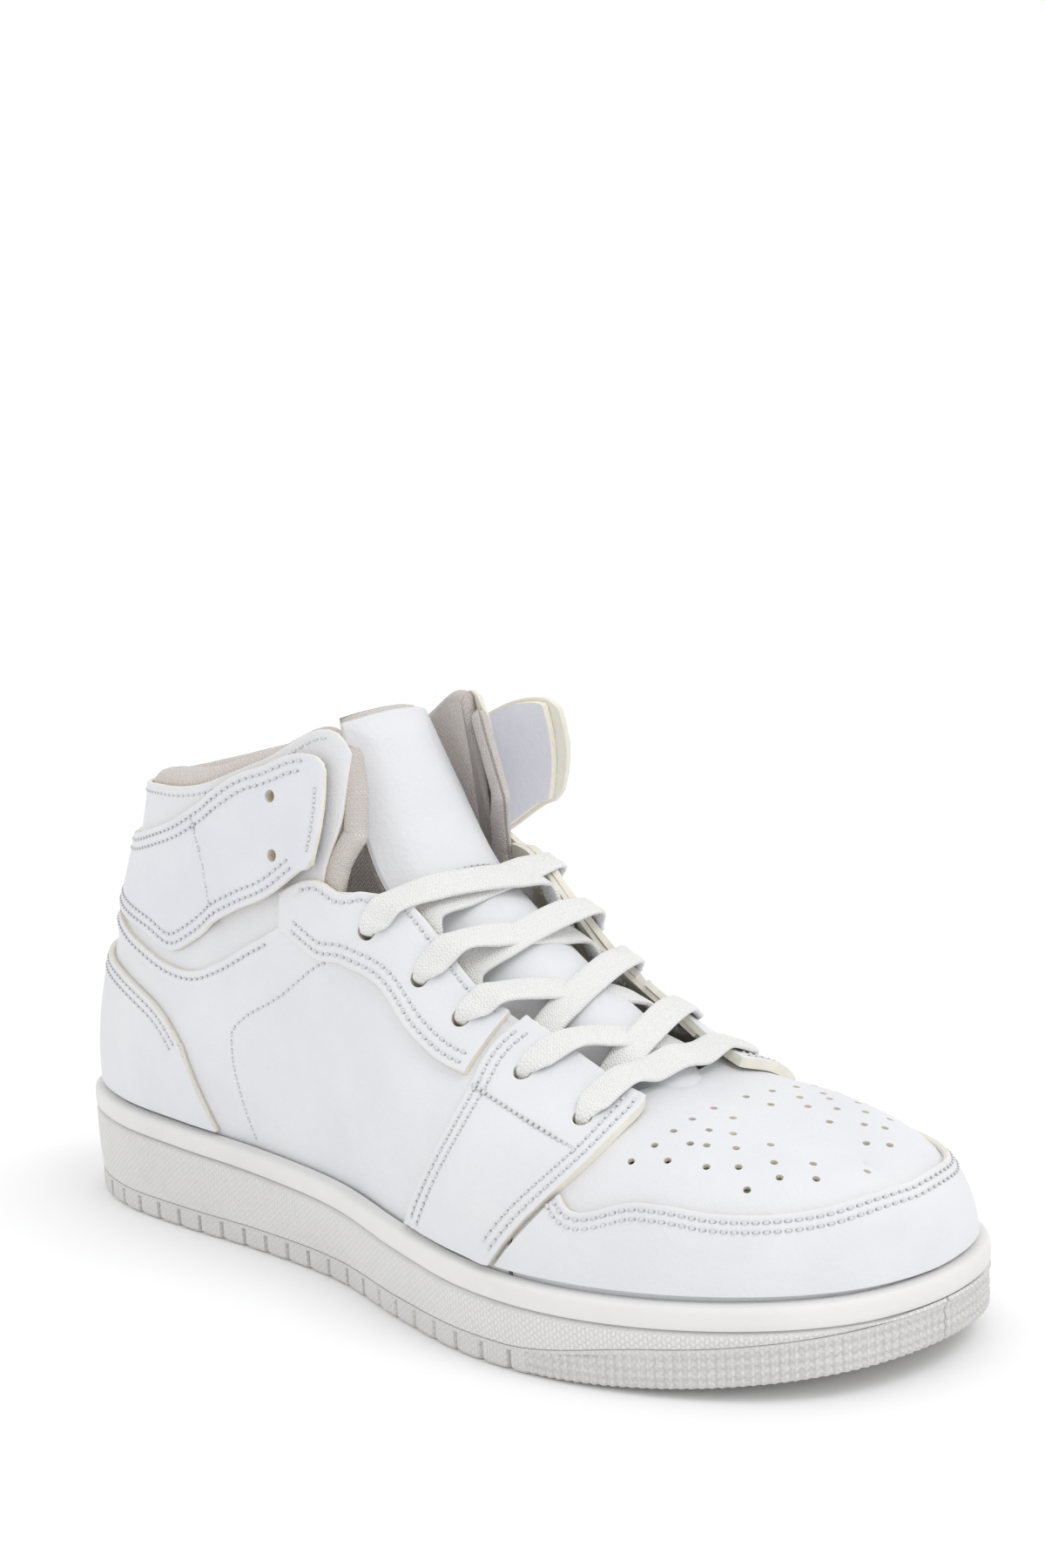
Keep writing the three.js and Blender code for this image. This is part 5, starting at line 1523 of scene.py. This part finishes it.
def lace_route():
    """The lace's middle line with its width direction and its size: two halves climb the throat from
    the bar over the lowest holes, dive through each hole from above and end inside the ankle."""
    over, under = OVERLAY_TOP + 0.3 + LACE_THICK / 2, -(LEATHER + 0.7 + LACE_THICK / 2)
    flat, halfway, bunched = (LACE_WIDE, LACE_THICK), (6.4, 2.1), (3.9, 2.6)
    marks = np.linspace(0, 1, 401)
    middle = tongue_centre(marks)

    def dive(hole, first):
        """Stops from above the throat's edge down through a hole and back under it."""
        _, edge, across, at = hole
        stops = (
            (edge + 1.4, over + 0.3, flat), (5.5, over, flat), (2.8, over, halfway), (0.6, over - 1, bunched),
            (0, 0.3, bunched), (0.4, under + 0.9, bunched), (2.6, under - 0.3, halfway),
            (5.5, under - 0.1, flat), (edge - 2, under - 0.2, flat), (edge + 3, under - 0.4, flat),
        )  # fmt: skip
        leans = [0 if first else -1] * 5 + [1] * 5
        return [(at(a, b, lean), across, size) for (a, b, size), lean in zip(stops, leans)]

    def crossing(a, b, height):
        """Stops over the tongue between two holes, raised by the root of a sine."""
        start, end = a[3](a[1] + 3, under - 0.4, 1), b[3](b[1] + 1.4, over + 0.3, -1)
        v = marks[np.abs(middle[:, 1] - (start[1] + end[1]) / 2).argmin()]
        out = tongue_normal(v)
        across = unit(np.cross(out, end - start))
        across = across * np.sign(across[1])
        hump = lambda k: out * (height * np.sin(np.pi * k) ** 0.5)
        return [(mix(start, end, k) + hump(k), across, flat) for k in (0.25, 0.5, 0.75)]

    def climb(side):
        """Stops up the throat from one of the lowest holes, and the side on which they end."""
        route, last = [], len(EYELETS) - 1
        for row in range(len(EYELETS)):
            hole = lace_hole(side, row)
            if row:
                on_top = (side > 0) == (row < last)
                route += crossing(lace_hole(-side, row - 1), hole, CROSS_HIGH if on_top else CROSS_LOW)
            route += dive(hole, row == 0)[: 7 if row == last else 10]
            side = -side
        return route, -side

    def tail(side):
        """Stops from the highest hole down inside the ankle and forward over the sockliner."""
        y = lace_hole(side, len(EYELETS) - 1)[0][1]
        floor = lambda k: liner_low(k) + LINER + LACE_THICK / 2 + 0.6
        spots = [(27, y + 4, 86), (26, y + 4, 74), (25, y + 1, 60), (24, y - 4, 46), (24, y - 12, 34)]
        spots += [(23.5, y - 22, floor(y - 22) + 0.8)]
        spots += [(x, y - far, floor(y - far)) for x, far in ((23, 34), (22, 48), (20, 62))]
        wide = [unit(np.array([0, 1, 0.2]))] * 4 + [np.array([1.0, 0, 0])] * 5
        size = [(6, 2)] * 8 + [(2.6, 2.2)]
        at = [np.array([FOOT_AXIS + side * x, y, z]) for x, y, z in spots]
        return list(zip(at, wide, size))

    (left, left_side), (right, right_side) = climb(-1), climb(1)
    out = tongue_normal(np.array(0.13))
    across = np.array([0, out[2], -out[1]])
    bar = [(tongue_point(x, 0.13, -4.2), across, flat) for x in (-0.5, 0, 0.5)]
    route = [*tail(left_side)[::-1], *left[::-1], *bar, *right, *tail(right_side)]
    return tuple(np.array([r[k] for r in route], float) for k in range(3))


def lace():
    """A flat woven lace along its route: a smooth curve through the stops, with the width direction
    kept to one side, and a flat section with full edges."""
    stop, across, size = lace_route()
    for i in range(1, len(across)):
        if across[i] @ across[i - 1] < 0:
            across[i] = -across[i]
    gaps = np.concatenate([[0], np.cumsum(np.sqrt(np.linalg.norm(np.diff(stop, axis=0), axis=1)))])
    fine = np.linspace(0, gaps[-1], 4000)
    curve = spline(gaps, stop)
    run = lengths(curve(fine))
    even = np.arange(0, run[-1], 0.8)
    pick = np.interp(even, run, fine)
    path, wide, size = curve(pick), follow(across, gaps, pick), follow(size, gaps, pick) / 2
    along = unit(np.gradient(path, axis=0))
    wide = unit(wide - along * (wide * along).sum(-1, keepdims=True))
    tall = np.cross(along, wide)
    turn = np.arange(16) * np.pi / 8
    x, z = oval(np.cos(turn), 0.45)[None] * size[:, :1], oval(np.sin(turn), 0.8)[None] * size[:, 1:]
    points = path[:, None] + wide[:, None] * x[..., None] + tall[:, None] * z[..., None]
    piece = closed_tube("woven_lace", points, lace_weave, "shoe", x + 0.7, even[:, None])
    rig.replaces(piece, "lace")
    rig.slot(piece, "lace")


# ---------------------------------------------------------------- floor, light and camera
def studio():
    """Paper on the floor, an even white sky and one soft sun."""
    half, thick = 20000, 20
    x, y = np.array([[-1, -1], [1, 1]]) * half, np.array([[-1, 1], [-1, 1]]) * half
    flat = np.stack([x, y, 0 * x], -1).astype(float)
    floor = thick_sheet("paper_floor", flat, flat - (0, 0, thick), paper, None, flat[..., :2])
    floor.data.shade_flat()
    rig.stage(floor)
    world = bpy.data.worlds.new("studio")
    world.use_nodes = True
    sky = world.node_tree.nodes["Background"].inputs
    sky[0].default_value, sky[1].default_value = (1, 1, 1, 1), 1.01
    scene = bpy.context.scene
    scene.world = world
    scene.view_settings.view_transform = "Standard"
    sun = bpy.data.lights.new("key", "SUN")
    sun.energy, sun.angle = 0.6, 0.45
    lamp = bpy.data.objects.new("key", sun)
    lamp.rotation_euler = Vector((0.15, -0.62, 1)).to_track_quat("Z", "Y").to_euler()
    scene.collection.objects.link(lamp)


def camera():
    """The camera looks at its target along a turn and a tilt, rolled a little."""
    target, distance = np.array([12.39, -8.64, 74.93]) / 1000, 0.72444
    turn, tilt, roll = np.radians((-44.06, 13.94, -3.31))
    back = np.array([np.sin(turn) * np.cos(tilt), -np.cos(turn) * np.cos(tilt), np.sin(tilt)])
    right = np.array([np.cos(turn), np.sin(turn), 0])
    up = np.cross(back, right)
    right, up = np.cos(roll) * right + np.sin(roll) * up, -np.sin(roll) * right + np.cos(roll) * up
    data = bpy.data.cameras.new("camera")
    data.lens, data.sensor_width, data.shift_x, data.shift_y = 62.37, 36, 0.0006, 0.1257
    eye = bpy.data.objects.new("camera", data)
    columns = np.column_stack([right, up, back, target + back * distance])
    eye.matrix_world = Matrix(np.vstack([columns, [0, 0, 0, 1]]).tolist())
    bpy.context.scene.collection.objects.link(eye)
    bpy.context.scene.camera = eye


# ---------------------------------------------------------------- assembly
camera()
studio()
cup()
tread()
sockliner()
toe()
for side, name in SIDES:
    upper(side, name)
    strap(side, name)
    piping(side, name)
heel()
collar()
tongue()
lace()

CARRIED = {
    "toe_puff": board_brown, "heel_counter": board_brown, "midsole_foam": foam_yellow,
    "insole_board": board_brown, "vamp_lining": knit_lining, "lateral_quarter_lining": knit_lining,
    "medial_quarter_lining": knit_lining, "lateral_aglet": lace_tip, "medial_aglet": lace_tip,
}  # fmt: skip
for name, material in CARRIED.items():
    body = bpy.data.objects[name].data
    body.materials.clear()
    body.materials.append(material)

with open("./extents.json", "w") as out:
    json.dump({"cad": [list(map(float, k)) for k in cad_box], "visual": [list(map(float, k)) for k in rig.bounds()]}, out)
